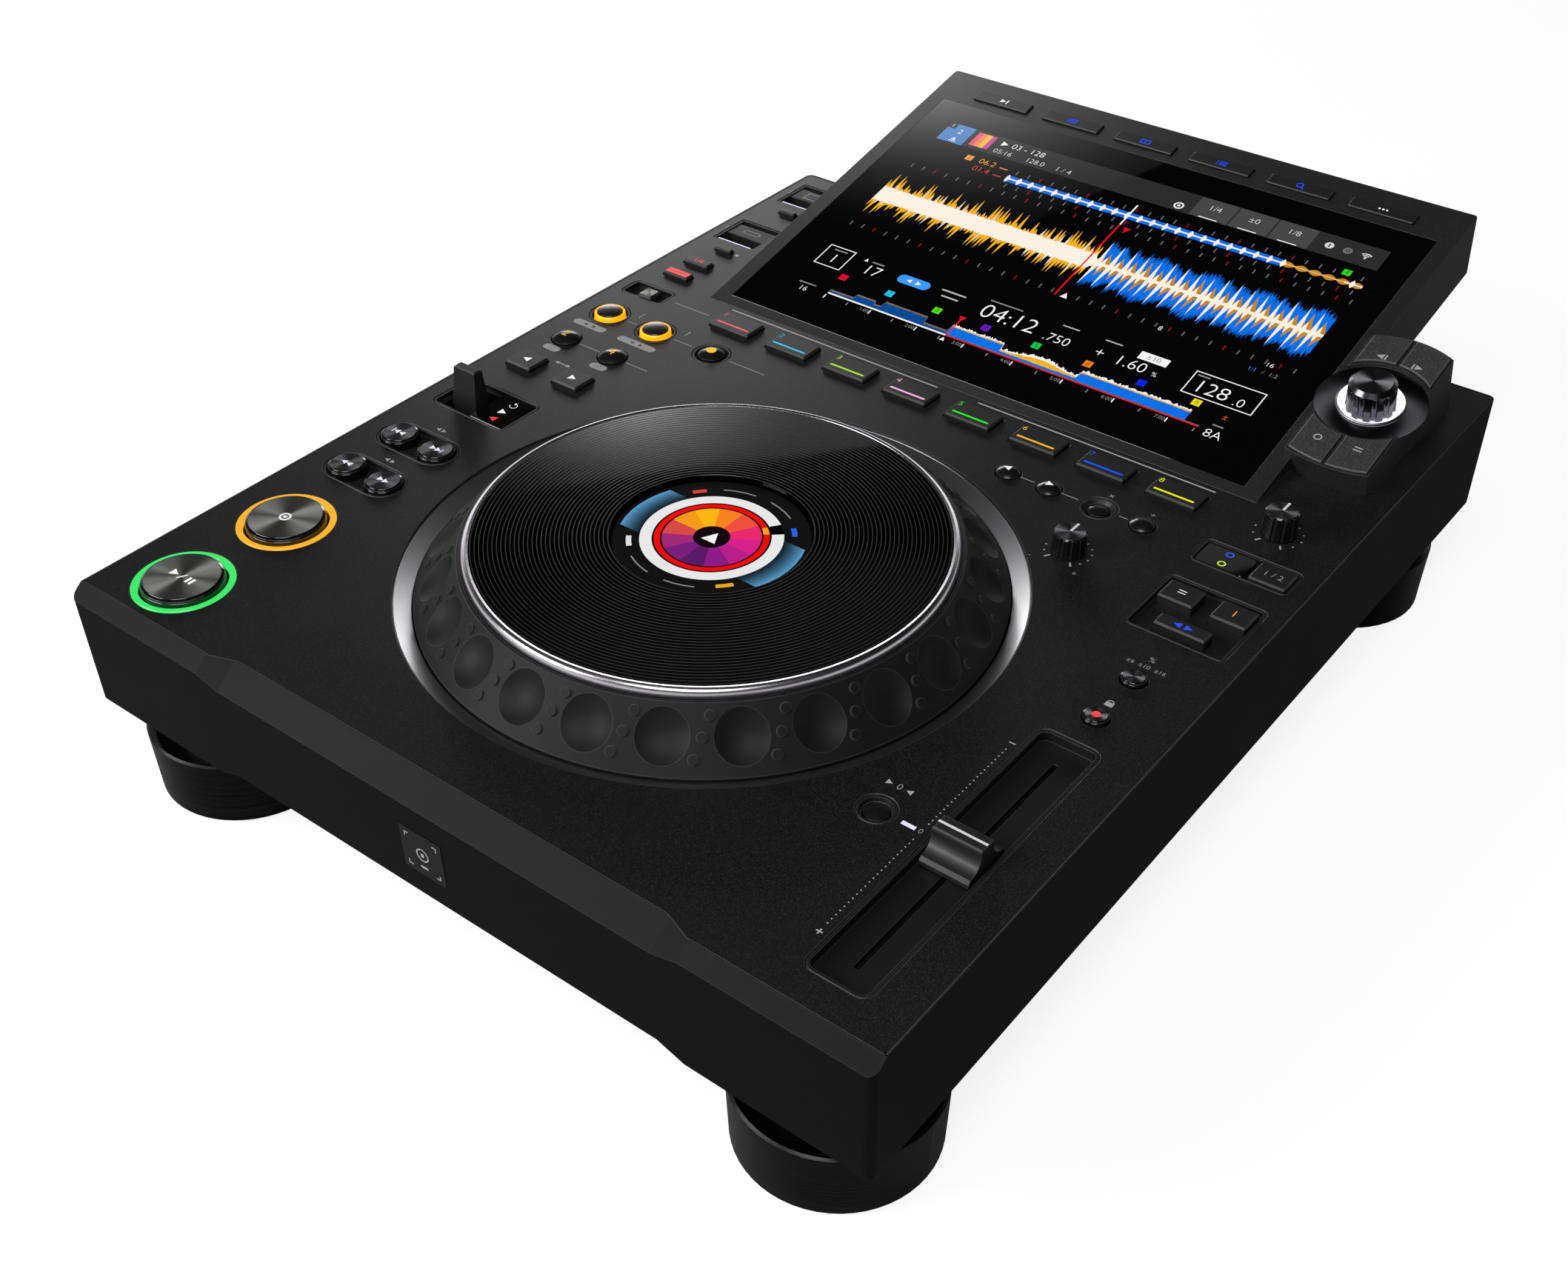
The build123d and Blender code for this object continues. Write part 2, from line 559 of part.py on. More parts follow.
def pod_outline(inset=0.0, draft=0.0):
    left, right = POD_X[0] + inset, POD_X[1] - inset + draft
    middle = (left + right) / 2
    front, back = POD_U[0] + inset, POD_U[1] - inset
    edges = [
        Line((left, front), (left, back)),
        ThreePointArc((left, back), (middle, POD_ARC[1] - inset), (right, back)),
        Line((right, back), (right, front)),
        ThreePointArc((right, front), (middle, POD_ARC[0] + inset), (left, front)),
    ]
    return make_face(edges)


def pod_body(inset=0.0, top=POD_TOP):
    """Drafted pod, square to the screen face and cut off at the deck."""
    depth = -45.0
    upper = Pos(0, 0, top) * pod_outline(inset)
    lower = Pos(0, 0, depth) * pod_outline(inset, 1.6)
    return FACE * loft([lower, upper], ruled=True) & block(100, 170, 290, 420, 0, 60)


def pod_key_outlines(grow=0.0):
    """The four keys fill the corners round the dish and are parted along the middle."""
    face = pod_outline(0.9 - grow) - Pos(*DIAL, 0) * Circle(DISH_R + 1.2 - grow)
    face -= Pos(*DIAL, 0) * Rectangle(1.4 - 2 * grow, 100)
    return face.faces()


def selector_pod():
    pod = pod_body()
    floor = -3.0
    hollow = pod_body(2.2, floor)
    pod -= hollow
    dial = Pos(*DIAL, 0)
    boss = tube(6.0, 0, -8, floor + 0.5)
    pod += FACE * dial * boss
    cuts = [dial * tube(DISH_R, 0, DISH_H, 5), dial * tube(BEZEL_R, 0, RING_BASE, 5), dial * tube(SHAFT_R + RUN_FIT, 0, -20, 5)]
    cuts += [prism(outline, -4, 5) for outline in pod_key_outlines(0.35)]
    return pod - [FACE * cut for cut in cuts]


def pod_keys():
    return [FACE * soften_top(prism(outline, -1.0, POD_KEY_TOP), 0.3) for outline in pod_key_outlines()]


def selector_light_ring():
    ring = turned([(5.0, RING_BASE), (BEZEL_R, RING_BASE), (BEZEL_R, 2.6), (GLOW_R, 2.9), BOWL_TOP, BOWL_FOOT,
                   (5.0, BOWL_FOOT[1])])
    return FACE * Pos(*DIAL, 0) * ring


def selector_shaft():
    return FACE * Pos(*DIAL, 0) * (tube(SHAFT_R, 0, -13, 9.0) + tube(4.6, 0, -13, -11))


def fluted(profile, bore, bore_top, flutes, flute_r, flute_at, lean, top):
    """Knob with scooped flutes; the flutes lean inwards with the side of the knob."""
    knob = turned(profile)
    for i in range(flutes):
        scoop = Pos(flute_at, 0, 0) * Rot(0, -lean, 0) * Pos(0, 0, top / 2) * Cylinder(flute_r, top)
        ball = Pos(flute_at, 0, 0) * Rot(0, -lean, 0) * Pos(0, 0, top) * Sphere(flute_r)
        knob -= Rot(0, 0, i * 360 / flutes) * (scoop + ball)
    return knob - tube(bore, 0, -20, bore_top)


def selector_knob():
    profile = [(0, KNOB_FOOT[1]), KNOB_FOOT, KNOB_SHOULDER, KNOB_TOP, (0, KNOB_TOP[1])]
    knob = fluted(profile, SHAFT_R + RUN_FIT, 9.4, 12, 1.25, KNOB_FOOT[0] + 0.35, 2.7, KNOB_FLUTE_TOP)
    return FACE * Pos(*DIAL, 0) * knob


# ---- jog wheel ----
def well_ring():
    outside = WELL_TOP[0] + 0.45
    profile = [WELL_TOP, (outside, WELL_TOP[1]), (outside, PAN_TOP), (WELL_LOW[0], PAN_TOP), WELL_LOW]
    return JOG_AT * turned(profile)


def jog_base():
    """Pan under the wheel with the fixed spindle and four pillars up to the frame."""
    pan = turned([(5, PAN_TOP - 3), (112, PAN_TOP - 3), (112, PAN_TOP), (SPINDLE_R + 3, PAN_TOP), (SPINDLE_R + 3, -11),
                  (SPINDLE_R, -11), (SPINDLE_R, 9.2), (12.0, 9.2), (12.0, 12.6), (5, 12.6)])
    pillar = Pos(109.6, 0, 0) * tube(2.2, 0, PAN_TOP, FRAME_BOTTOM)
    pan += [Rot(0, 0, 45 + 90 * i) * pillar for i in range(4)]
    return JOG_AT * pan


def jog_bearing():
    """Ball bearing between the spindle and the hub."""
    inner = tube(SPINDLE_R + 2.4, SPINDLE_R, -4, 4)
    outer = tube(HUB_R - RUN_FIT, HUB_R - 2.4, -4, 4)
    shield = tube(HUB_R - 2.4, SPINDLE_R + 2.4, -3.2, 3.2)
    return JOG_AT * (inner + shield + outer)


def jog_display():
    body = turned([(5.0, 12.6), (33.4, 12.6), (33.4, 14.2), (33.1, 14.5), (0, 14.5), (0, 13.2), (5.0, 13.2)])
    return JOG_AT * body


def jog_wheel():
    """Wheel moulding: dimpled cone, web and hub."""
    (r0, z0), (r1, z1) = CONE_TOP, CONE_FOOT
    profile = [(LIP_R - 0.2, WEB_TOP), (LIP_R - 0.2, z0 - 0.2), (LIP_R, z0), (r0, z0), (r1, z1), (99.8, -2.75),
               (99.8, -5.0), (95.4, -5.0), (95.4, -4.2), (82.6, 9.4), (HUB_R + 5, 9.4), (HUB_R + 3, 7.0),
               (HUB_R + 3, -6.0), (HUB_R, -6.0),
               (HUB_R, WEB_TOP - 2.4), (18.0, WEB_TOP - 2.4), (18.0, WEB_TOP)]
    wheel = turned(profile)
    slope = ((r1 - r0) ** 2 + (z1 - z0) ** 2) ** 0.5
    normal = (-(z1 - z0) / slope, (r1 - r0) / slope)

    def on_cone(fraction, lift):
        return (r0 + (r1 - r0) * fraction + normal[0] * lift, z0 + (z1 - z0) * fraction + normal[1] * lift)

    dish_r, dish_z = on_cone(0.5, DIMPLE_R - DIMPLE_DEPTH)
    step = 360 / DIMPLES
    wheel -= [Rot(0, 0, i * step) * Pos(dish_r, 0, dish_z) * Sphere(DIMPLE_R) for i in range(DIMPLES)]
    lean = degrees(atan2(*normal))
    pips = []
    for i in range(DIMPLES):
        for row, fraction in enumerate((0.18, 0.5, 0.82)):
            pip_r, pip_z = on_cone(fraction, 0)
            turn = (i + 0.5) * step + (1 - row) * PIP_SLANT
            pips.append(Rot(0, 0, turn) * Pos(pip_r, 0, pip_z) * Rot(0, lean, 0) * Cylinder(PIP_R, 2 * PIP_RISE))
    return JOG_AT * (wheel + pips)


def jog_trim():
    return JOG_AT * turned([(DISC_R, WEB_TOP), (82.5, WEB_TOP), (82.5, 13.9), (82.1, 15.5), (80.6, 16.5),
                            (79.9, DISC_TOP), (DISC_R, DISC_TOP)])


def jog_disc():
    disc_body = turned([(DISC_HOLE, WEB_TOP), (DISC_R, WEB_TOP), (DISC_R, DISC_TOP - 0.1), (79.3, DISC_TOP),
                        (35.4, DISC_TOP), (DISC_HOLE, DISC_TOP - 1.2)])
    return JOG_AT * disc_body


# ---- slider and lever ----
def slider_tray():
    x0, x1, y0, y1 = TRAY
    gap = 0.12
    outline = rect((x0 + x1) / 2, (y0 + y1) / 2, x1 - x0 - 2 * gap, y1 - y0 - 2 * gap, TRAY_CORNER - gap)
    body = soften_top(prism(outline, TRAY_FLOOR - 2, RIM_TOP), RIM_EDGE)
    pocket = prism(rect((x0 + x1) / 2, (y0 + y1) / 2, x1 - x0 - 2.6, y1 - y0 - 2.6, TRAY_CORNER - 1.3), TRAY_FLOOR, HIGH)
    slot = prism(rect(SLIDER_X, sum(SLOT) / 2, TRAY_SLOT, SLOT[1] - SLOT[0], 0.9), DEEP, HIGH)
    return body - pocket - slot


def fader_unit():
    """Slide potentiometer: a folded steel can, open along the top for the stem."""
    can = block(SLIDER_X - 6, SLIDER_X + 6, 13, 132, -15.5, TRAY_FLOOR - 2)
    inside = block(SLIDER_X - 4.8, SLIDER_X + 4.8, 14.5, 130.5, -14.5, TRAY_FLOOR - 3)
    slot = block(SLIDER_X - 1.1, SLIDER_X + 1.1, 20, 125, -10, 0)
    return can - inside - slot


def tempo_slider():
    """Cap with a high ridge and scooped flanks, on a flat stem."""
    y, half, reach, foot = SLIDER_Y, RIDGE_HALF, CAP_HALF[1], -2.3
    skirt = reach - 0.9
    outline = [
        Line((y - half, RIDGE_TOP), (y + half, RIDGE_TOP)),
        Line((y + half, RIDGE_TOP), (y + half + 0.3, 6.6)),
        ThreePointArc((y + half + 0.3, 6.6), (y + half + 1.2, 2.2), (y + skirt, 0.4)),
        Line((y + skirt, 0.4), (y + reach, -0.8)),
        Line((y + reach, -0.8), (y + reach, foot)),
        Line((y + reach, foot), (y - reach, foot)),
        Line((y - reach, foot), (y - reach, -0.8)),
        Line((y - reach, -0.8), (y - skirt, 0.4)),
        ThreePointArc((y - skirt, 0.4), (y - half - 1.2, 2.2), (y - half - 0.3, 6.6)),
        Line((y - half - 0.3, 6.6), (y - half, RIDGE_TOP)),
    ]
    cap = extrude(Pos(SLIDER_X, 0, 0) * (Plane.YZ * make_face(outline)), CAP_HALF[0], both=True)
    ridge = [e for e in cap.edges() if abs((e @ 0.5).Z - RIDGE_TOP) < 0.01]
    cap = chamfer(ridge, 0.4)
    stem = block(SLIDER_X - 0.6, SLIDER_X + 0.6, y - 2.5, y + 2.5, -9.5, foot)
    wiper = block(SLIDER_X - 4.0, SLIDER_X + 4.0, y - 3.0, y + 3.0, -12.0, -9.5)
    return cap + stem + wiper


def direction_lever():
    """Tapered finger blade on trunnions under the deck."""
    tip, shoulder = 13.0, -2.0
    blade = [(LEVER_Y - 2.0, tip), (LEVER_Y + 2.0, tip), (LEVER_Y + 3.8, shoulder), (LEVER_Y + 3.8, LEVER_AXIS_Z),
             (LEVER_Y - 3.8, LEVER_AXIS_Z), (LEVER_Y - 3.8, shoulder)]
    left, right = LEVER_X - LEVER_HALF, LEVER_X + LEVER_HALF
    taper = 0.65
    face = Plane.XZ * Polygon((left, DEEP), (left, shoulder), (left + taper, tip), (right - taper, tip),
                              (right, shoulder), (right, DEEP), align=None)
    body = along_x(blade, left, right) & (Pos(0, LEVER_Y, 0) * extrude(face, 12, both=True))
    body = soften_top(body, 0.5)
    axle = Pos(LEVER_X, LEVER_Y, LEVER_AXIS_Z) * Rot(0, 90, 0)
    return body + axle * Cylinder(3.8, 2 * LEVER_HALF) + axle * Cylinder(LEVER_PIN_R, 20.6)


def display_windows():
    lever_plate = prism(rect(-129.4, 164.0, 16.8, 19.0, 0.8), RECESS_FLOOR, -0.4)
    mode_plate = prism(rect(131.9, 245.0, 18.2, 11.8, 1.4), RECESS_FLOOR, -0.4)
    return [soften_top(lever_plate, 0.2), soften_top(mode_plate, 0.2)]


def light_rings():
    ring = turned([(RING_IN, -PANEL_T), (RING_R, -PANEL_T), (RING_R, 0.0), (RING_R - 0.3, 0.25), (RING_IN + 0.3, 0.25),
                   (RING_IN, 0.0)])
    return [Pos(x, y, 0) * ring for name in ("play_key", "cue_key") for x, y in KEYS[name][1]]


def deck_knob(top):
    foot_r, foot = DECK_KNOB_FOOT
    lean = degrees(atan2(DECK_KNOB_TAPER, top - foot))
    profile = [(0, foot), (foot_r, foot), (foot_r - DECK_KNOB_TAPER, top - 0.5), (DECK_KNOB_TOP_R, top), (0, top)]
    knob = fluted(profile, 0.5, 1.0, 12, 0.75, foot_r + 0.2, lean, top + 0.9)
    return knob + tube(DECK_KNOB_STEM_R, 0, -9, 1.5)


def loop_keys():
    """Keys with a lit skirt; a dark, slightly domed cap sits inside its rim."""
    _, places, size, top, edge = KEYS["loop_keys"]
    cap = [(0, 0), (LOOP_CAP_R, 0), (LOOP_CAP_R, top - 0.3), (LOOP_CAP_R - 0.9, top + 0.15), (2.5, top + 0.35),
           (0, top + 0.4)]
    skirt = [(0, KEY_FOOT), (size + FLANGE, KEY_FOOT), (size + FLANGE, KEY_FLANGE_TOP), (size, KEY_FLANGE_TOP),
             (size, top - 0.35), (size - 0.35, top), (LOOP_CAP_R + 0.15, top), (LOOP_CAP_R, top - edge), (0, top - edge)]
    return [Pos(x, y, 0) * (turned(skirt) + turned(cap)) for x, y in places]


# ---- sockets and electronics ----
def usb_well(x, y):
    """Sloped well with a hood over its rear half."""
    left, right = x - USB_SIZE[0] / 2, x + USB_SIZE[0] / 2
    front, back, top = y - USB_REACH, y + USB_REACH, -0.2
    outer = [(front, top), (front, USB_FRONT), (back - 1.6, USB_REAR), (back, USB_REAR), (back, top)]
    front, back = front + USB_WALL, back - USB_WALL
    inner = [(front, 1), (front, USB_FRONT + 1.0), (back, USB_REAR + 1.4), (back, 1)]
    tub = along_x(outer, left, right)
    tub = fillet(tub.edges().filter_by(Axis.Z), 1.25)
    tub -= along_x(inner, left + USB_WALL, right - USB_WALL)
    start, end, low, high = USB_HOOD
    hood = block(left + USB_WALL, right - USB_WALL, y + start, y + end, low, high)
    return tub + soften_top(hood, 0.3)


USB_LEAN = 35.8
USB_MOUTH = (1.0, -7.2)


def usb_socket(x, y, outer, inner, tongue):
    """Metal shell with its contact tongue, lying along the slope of the well."""
    length = 7.4
    shell = extrude(outer, length) - Pos(0, 0, 1.2) * extrude(inner, length)
    shell += extrude(Rectangle(*tongue), length - 0.8)
    lie = Location((x, y + USB_MOUTH[0], USB_MOUTH[1]), (90 - USB_LEAN, 0, 0))
    return lie * Pos(0, 0, -length) * shell


def usb_sockets():
    (x0, y0), (x1, y1) = USB_WELLS
    small = usb_socket(x0, y0, SlotOverall(8.9, 3.2), SlotOverall(8.3, 2.6), (6.6, 0.7))
    large = usb_socket(x1, y1, Rectangle(13.1, 5.7), Rectangle(12.5, 5.1), (11.4, 1.8))
    return [small, large]


def mains_inlet():
    x, z, w, h = REAR_HOLES["mains"]
    inside, face = REAR_WALL - INLET_DEPTH, REAR_WALL + INLET_LIP
    body = rear_prism(x, z, w, h, inside, face)
    body += rear_prism(x, z, w + 2 * INLET_LIP, h + 2 * INLET_LIP, REAR_WALL, face)
    body -= rear_prism(x, z, *INLET_MOUTH, inside + 2, face + 1)
    for dx, dz in INLET_PINS:
        body += rear_prism(x + dx, z + dz, *INLET_PIN, inside + 1, REAR_WALL - 2)
    return body


def rear_sockets():
    back = Rot(90, 0, 0)
    solids = []
    for x, z in JACKS:
        jack = tube(JACK_R, JACK_BORE_R, -9.5, 9) + tube(JACK_NUT[0], JACK_R, -JACK_NUT[1], 0)
        solids.append(Pos(x, REAR_WALL, z) * back * jack)
    x, z, w, h = REAR_HOLES["network"]
    port = rear_prism(x, z, w, h, REAR_WALL - 16, REAR_WALL + 0.6)
    port -= rear_prism(x, z, *PORT_MOUTH, REAR_WALL - 13, REAR_WALL + 3)
    port -= rear_prism(x, z - 5.0, *PORT_LATCH, REAR_WALL - 13, REAR_WALL + 3)
    return solids + [port]


def power_key():
    x, z, w, h = REAR_HOLES["power"]
    cap = rear_prism(x, z, w - 0.8, h - 0.8, REAR_WALL - 8, REAR_WALL + 2.6)
    cap = chamfer(cap.edges().group_by(Axis.Y)[-1], 0.5)
    return cap + rear_prism(x, z, w + 1.6, h + 1.6, REAR_WALL - 8, REAR_WALL - WALL - 0.6)


def board(outline, top, parts, standoffs):
    """Circuit board with block-shaped parts of (outline, height), on standoffs."""
    under = top - BOARD_T
    solids = [block(*place, top, top + height) for place, height in parts]
    solids += [Pos(x, y, 0) * tube(STANDOFF_R, 0, PLATE_TOP, under) for x, y in standoffs]
    return block(*outline, under, top) + solids


def power_supply():
    x, y, r, height = CAPACITORS
    cans = [Pos(place, y, 0) * tube(r, 0, SUPPLY_TOP, SUPPLY_TOP + height) for place in x]
    return board(SUPPLY, SUPPLY_TOP, SUPPLY_PARTS, SUPPLY_STANDOFFS) + cans


def front_badge():
    return along_x(badge_outline(-0.2, 0.8), JOG[0] - 8.85, JOG[0] + 8.85)


def build():
    os.makedirs("parts", exist_ok=True)
    nodes = {
        "main_case": main_case(),
        "bottom_plate": bottom_plate(),
        "top_panel": top_panel(),
        "control_frame": control_frame(),
        "front_badge": front_badge(),
        "feet": group(feet()),
        "foot_pads": group(foot_pads()),
        "case_screws": group(case_screws()),
        "well_ring": well_ring(),
        "jog_base": jog_base(),
        "jog_bearing": jog_bearing(),
        "jog_display": jog_display(),
        "jog_wheel": jog_wheel(),
        "jog_trim": jog_trim(),
        "jog_disc": jog_disc(),
        "screen_housing": screen_housing(),
        "screen_back": screen_back(),
        "screen_glass": screen_glass(),
        "lcd_module": lcd_module(),
        "screen_keys": group(screen_keys()),
        "selector_pod": selector_pod(),
        "pod_keys": group(pod_keys()),
        "selector_light_ring": selector_light_ring(),
        "selector_shaft": selector_shaft(),
        "selector_knob": selector_knob(),
        "slider_tray": slider_tray(),
        "fader_unit": fader_unit(),
        "tempo_slider": tempo_slider(),
        "direction_lever": direction_lever(),
        "display_windows": group(display_windows()),
        "light_rings": group(light_rings()),
        "loop_keys": group(loop_keys()),
        "left_keys": group(block_keys(LEFT_KEYS)),
        "sync_keys": group(block_keys(SYNC_KEYS)),
        "usb_wells": group([usb_well(x, y) for x, y in USB_WELLS]),
        "usb_sockets": group(usb_sockets()),
        "mains_inlet": mains_inlet(),
        "rear_sockets": group(rear_sockets()),
        "power_key": power_key(),
        "main_board": board(MAIN_BOARD, MAIN_BOARD_TOP, MAIN_PARTS, MAIN_STANDOFFS),
        "power_supply": power_supply(),
    }
    for name, (x, y) in KNOBS.items():
        nodes[name] = Pos(x, y, 0) * deck_knob(DECK_KNOB_TOPS[name])
    for name, (kind, places, size, top, edge) in KEYS.items():
        if name not in nodes:
            nodes[name] = group([key(kind, x, y, size, top, edge) for x, y in places])
    for i, place in enumerate(CUE_PADS):
        nodes[f"cue_pad_{i + 1}"] = group(block_keys([place]))
    for name, shape in nodes.items():
        save(name, shape)


build()
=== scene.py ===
"""The looks of a desktop DJ media player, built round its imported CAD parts."""

import json
import math
import random

import bmesh
import bpy
from mathutils import Matrix, Vector

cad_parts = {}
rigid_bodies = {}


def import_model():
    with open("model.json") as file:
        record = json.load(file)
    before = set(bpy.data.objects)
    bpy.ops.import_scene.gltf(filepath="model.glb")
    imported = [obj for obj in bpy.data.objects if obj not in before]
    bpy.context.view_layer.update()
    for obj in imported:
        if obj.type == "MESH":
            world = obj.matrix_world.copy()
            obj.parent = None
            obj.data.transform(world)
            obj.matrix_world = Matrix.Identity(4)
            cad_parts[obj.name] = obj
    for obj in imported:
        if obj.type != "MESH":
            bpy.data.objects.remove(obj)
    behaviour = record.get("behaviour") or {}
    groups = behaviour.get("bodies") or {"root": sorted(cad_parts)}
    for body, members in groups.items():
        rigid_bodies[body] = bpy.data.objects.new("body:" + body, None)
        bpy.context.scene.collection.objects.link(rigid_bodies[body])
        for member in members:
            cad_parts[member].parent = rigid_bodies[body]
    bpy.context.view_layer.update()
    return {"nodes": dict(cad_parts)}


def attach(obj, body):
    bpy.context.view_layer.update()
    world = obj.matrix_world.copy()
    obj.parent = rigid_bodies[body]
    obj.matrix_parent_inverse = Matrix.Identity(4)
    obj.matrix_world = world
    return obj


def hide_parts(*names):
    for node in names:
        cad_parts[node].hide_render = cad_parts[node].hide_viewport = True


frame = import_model()


# ==== Camera ====
# A normal lens held half a metre in front of the player's right corner, a little above the screen, looking down
# across the deck.
def stand(name, data):
    """Puts an object with that mesh, light or camera into the scene."""
    obj = bpy.data.objects.new(name, data)
    bpy.context.scene.collection.objects.link(obj)
    return obj


eye = stand("camera", bpy.data.cameras.new("camera"))
bpy.context.scene.camera = eye
eye.data.lens = 43.542
eye.data.sensor_width = 36.0
eye.data.clip_start = 0.01
turn, dip, roll = (math.radians(angle) for angle in (37.757, 38.268, -0.057))
eye.matrix_world = (
    Matrix.Translation((0.33312, -0.49004, 0.45725)) @ Matrix.Rotation(turn, 4, "Z")
    @ Matrix.Rotation(math.pi / 2 - dip, 4, "X") @ Matrix.Rotation(roll, 4, "Z")
)


# ==== Studio ====
# A white paper floor under soft boxes, in a room that is pale near the floor and dark overhead, so that black
# gloss stays black.
def colour(code):
    """Turns an sRGB hex value into the linear colour that a socket takes."""
    parts = [int(code[i:i + 2], 16) / 255 for i in (0, 2, 4)]
    return [p / 12.92 if p <= 0.04045 else ((p + 0.055) / 1.055) ** 2.4 for p in parts] + [1.0]


def feed(tree, node, links):
    """Joins outputs to the sockets of a node."""
    for name, source in links.items():
        tree.links.new(source, node.inputs[name])


def add(tree, kind, settings=None, links=None):
    """Adds a node with its options, the values of its sockets, and the outputs that its sockets take."""
    node = tree.nodes.new("ShaderNode" + kind)
    for name, value in (settings or {}).items():
        if isinstance(name, int) or name in node.inputs:
            node.inputs[name].default_value = value
        else:
            setattr(node, name, value)
    feed(tree, node, links or {})
    return node


def local(tree):
    """A piece's own coordinates, in metres."""
    return add(tree, "TexCoord").outputs["Object"]


def noise(tree, scale, detail=2.0, place=None):
    """Even cloudy pattern over a piece."""
    return add(tree, "TexNoise", {"Scale": scale, "Detail": detail},
               {"Vector": place or local(tree)}).outputs[0]


def span(tree, value, low=0.0, high=1.0, start=0.0, end=1.0):
    """Carries a value from the range start to end over to the range low to high."""
    bounds = {"From Min": start, "From Max": end, "To Min": low, "To Max": high}
    return add(tree, "MapRange", bounds, {"Value": value}).outputs[0]


def blend(tree, share, dark, light):
    """Mixes two colours by a share."""
    return add(tree, "Mix", {"data_type": "RGBA", 6: colour(dark), 7: colour(light)}, {0: share}).outputs[2]


def surface(name, code, roughness, metallic=0.0, level=0.5):
    """A new finish: its material, its node tree and its shader."""
    material = bpy.data.materials.new(name)
    material.use_nodes = True
    shader = material.node_tree.nodes["Principled BSDF"]
    shader.inputs["Base Color"].default_value = colour(code)
    shader.inputs["Roughness"].default_value = roughness
    shader.inputs["Metallic"].default_value = metallic
    shader.inputs["Specular IOR Level"].default_value = level
    return material, material.node_tree, shader


paper, tree, shader = surface("matt_paper", "868686", 0.95, level=0.0)
bump = add(tree, "Bump", {"Strength": 0.1, "Distance": 0.0002}, {"Height": noise(tree, 900.0, 3.0)})
feed(tree, shader, {"Normal": bump.outputs[0]})
path = add(tree, "LightPath")
seen = add(tree, "Math", {"operation": "MAXIMUM"}, {0: path.outputs["Is Camera Ray"],
                                                    1: path.outputs["Is Glossy Ray"]})
seen = add(tree, "Math", {"operation": "MAXIMUM"}, {0: seen.outputs[0], 1: path.outputs["Is Transmission Ray"]})
lift = add(tree, "Math", {"operation": "MULTIPLY", 1: 0.86}, {0: seen.outputs[0]})
feed(tree, shader, {"Emission Strength": lift.outputs[0]})
shader.inputs["Emission Color"].default_value = (1, 1, 1, 1)


def sheet(name, corners, material):
    """A flat sheet between four corners."""
    mesh = bpy.data.meshes.new(name)
    mesh.from_pydata(corners, [], [(0, 1, 2, 3)])
    mesh.materials.append(material)
    return stand(name, mesh)


def level_corners(half, front, back, height):
    """Corners of a level sheet, as wide to the left as to the right."""
    return [(-half, front, height), (half, front, height), (half, back, height), (-half, back, height)]


FLOOR_HALF = 12.0
floor = sheet("floor", level_corners(FLOOR_HALF, -FLOOR_HALF, FLOOR_HALF, 0), paper)

room = bpy.data.worlds.new("room")
bpy.context.scene.world = room
room.use_nodes = True
tree = room.node_tree
height = add(tree, "SeparateXYZ", None, {0: add(tree, "TexCoord").outputs["Generated"]})
shade = add(tree, "ValToRGB", None, {"Fac": height.outputs["Z"]})
shade.color_ramp.elements[0].color = (1.0, 1.0, 1.0, 1)
shade.color_ramp.elements[0].position = 0.1
shade.color_ramp.elements[1].color = (0.008, 0.008, 0.008, 1)
shade.color_ramp.elements[1].position = 0.55
mid = shade.color_ramp.elements.new(0.3)
mid.color = (0.12, 0.12, 0.12, 1)
path = add(tree, "LightPath")
power = span(tree, path.outputs["Is Glossy Ray"], 0.22)
tree.links.new(shade.outputs[0], tree.nodes["Background"].inputs["Color"])
tree.links.new(power, tree.nodes["Background"].inputs["Strength"])


def lamp(name, place, target, size, watts):
    """A soft box of that size in metres, turned to its target."""
    light = bpy.data.lights.new(name, "AREA")
    light.shape = "RECTANGLE"
    light.size, light.size_y = size
    light.energy = watts
    box = stand(name, light)
    box.location = place
    box.rotation_euler = (Vector(target) - Vector(place)).to_track_quat("-Z", "Y").to_euler()
    return box


front_box = lamp("box_front_left", (-1.3, -1.7, 1.3), (0, 0, 0.05), (1.2, 0.9), 39)
lamp("box_over_camera", (0.45, -1.2, 2.1), (0, 0, 0.05), (1.2, 1.2), 31)
lamp("box_back_left", (-0.95, 0.95, 0.36), (-0.1, 0.15, 0.1), (0.5, 0.25), 2.3)


def reflector(name, corners, centre, squeeze, reach, power, strength):
    """A silk card, brightest at its centre, that only the pieces named at the end mirror."""
    material, tree, _ = surface(name + "_silk", "000000", 1.0, level=0.0)
    material.cycles.emission_sampling = "FRONT_BACK"
    away = add(tree, "VectorMath", {"operation": "DISTANCE", 1: (centre[0] * squeeze, centre[1], 0)},
               {0: add(tree, "VectorMath", {"operation": "MULTIPLY", 1: (squeeze, 1.0, 0.0)},
                       {0: local(tree)}).outputs[0]})
    near = span(tree, away.outputs["Value"], start=reach, end=0.0)
    fade = add(tree, "Math", {"operation": "POWER", 1: power}, {0: near})
    bright = add(tree, "Math", {"operation": "MULTIPLY", 1: strength}, {0: fade.outputs[0]})
    glow = add(tree, "Emission", None, {"Strength": bright.outputs[0]})
    veil = add(tree, "AddShader", None, {0: glow.outputs[0], 1: add(tree, "BsdfTransparent").outputs[0]})
    tree.links.new(veil.outputs[0], tree.nodes["Material Output"].inputs["Surface"])
    card = sheet(name, corners, material)
    card.visible_camera = card.visible_diffuse = card.visible_shadow = card.visible_transmission = False
    return card


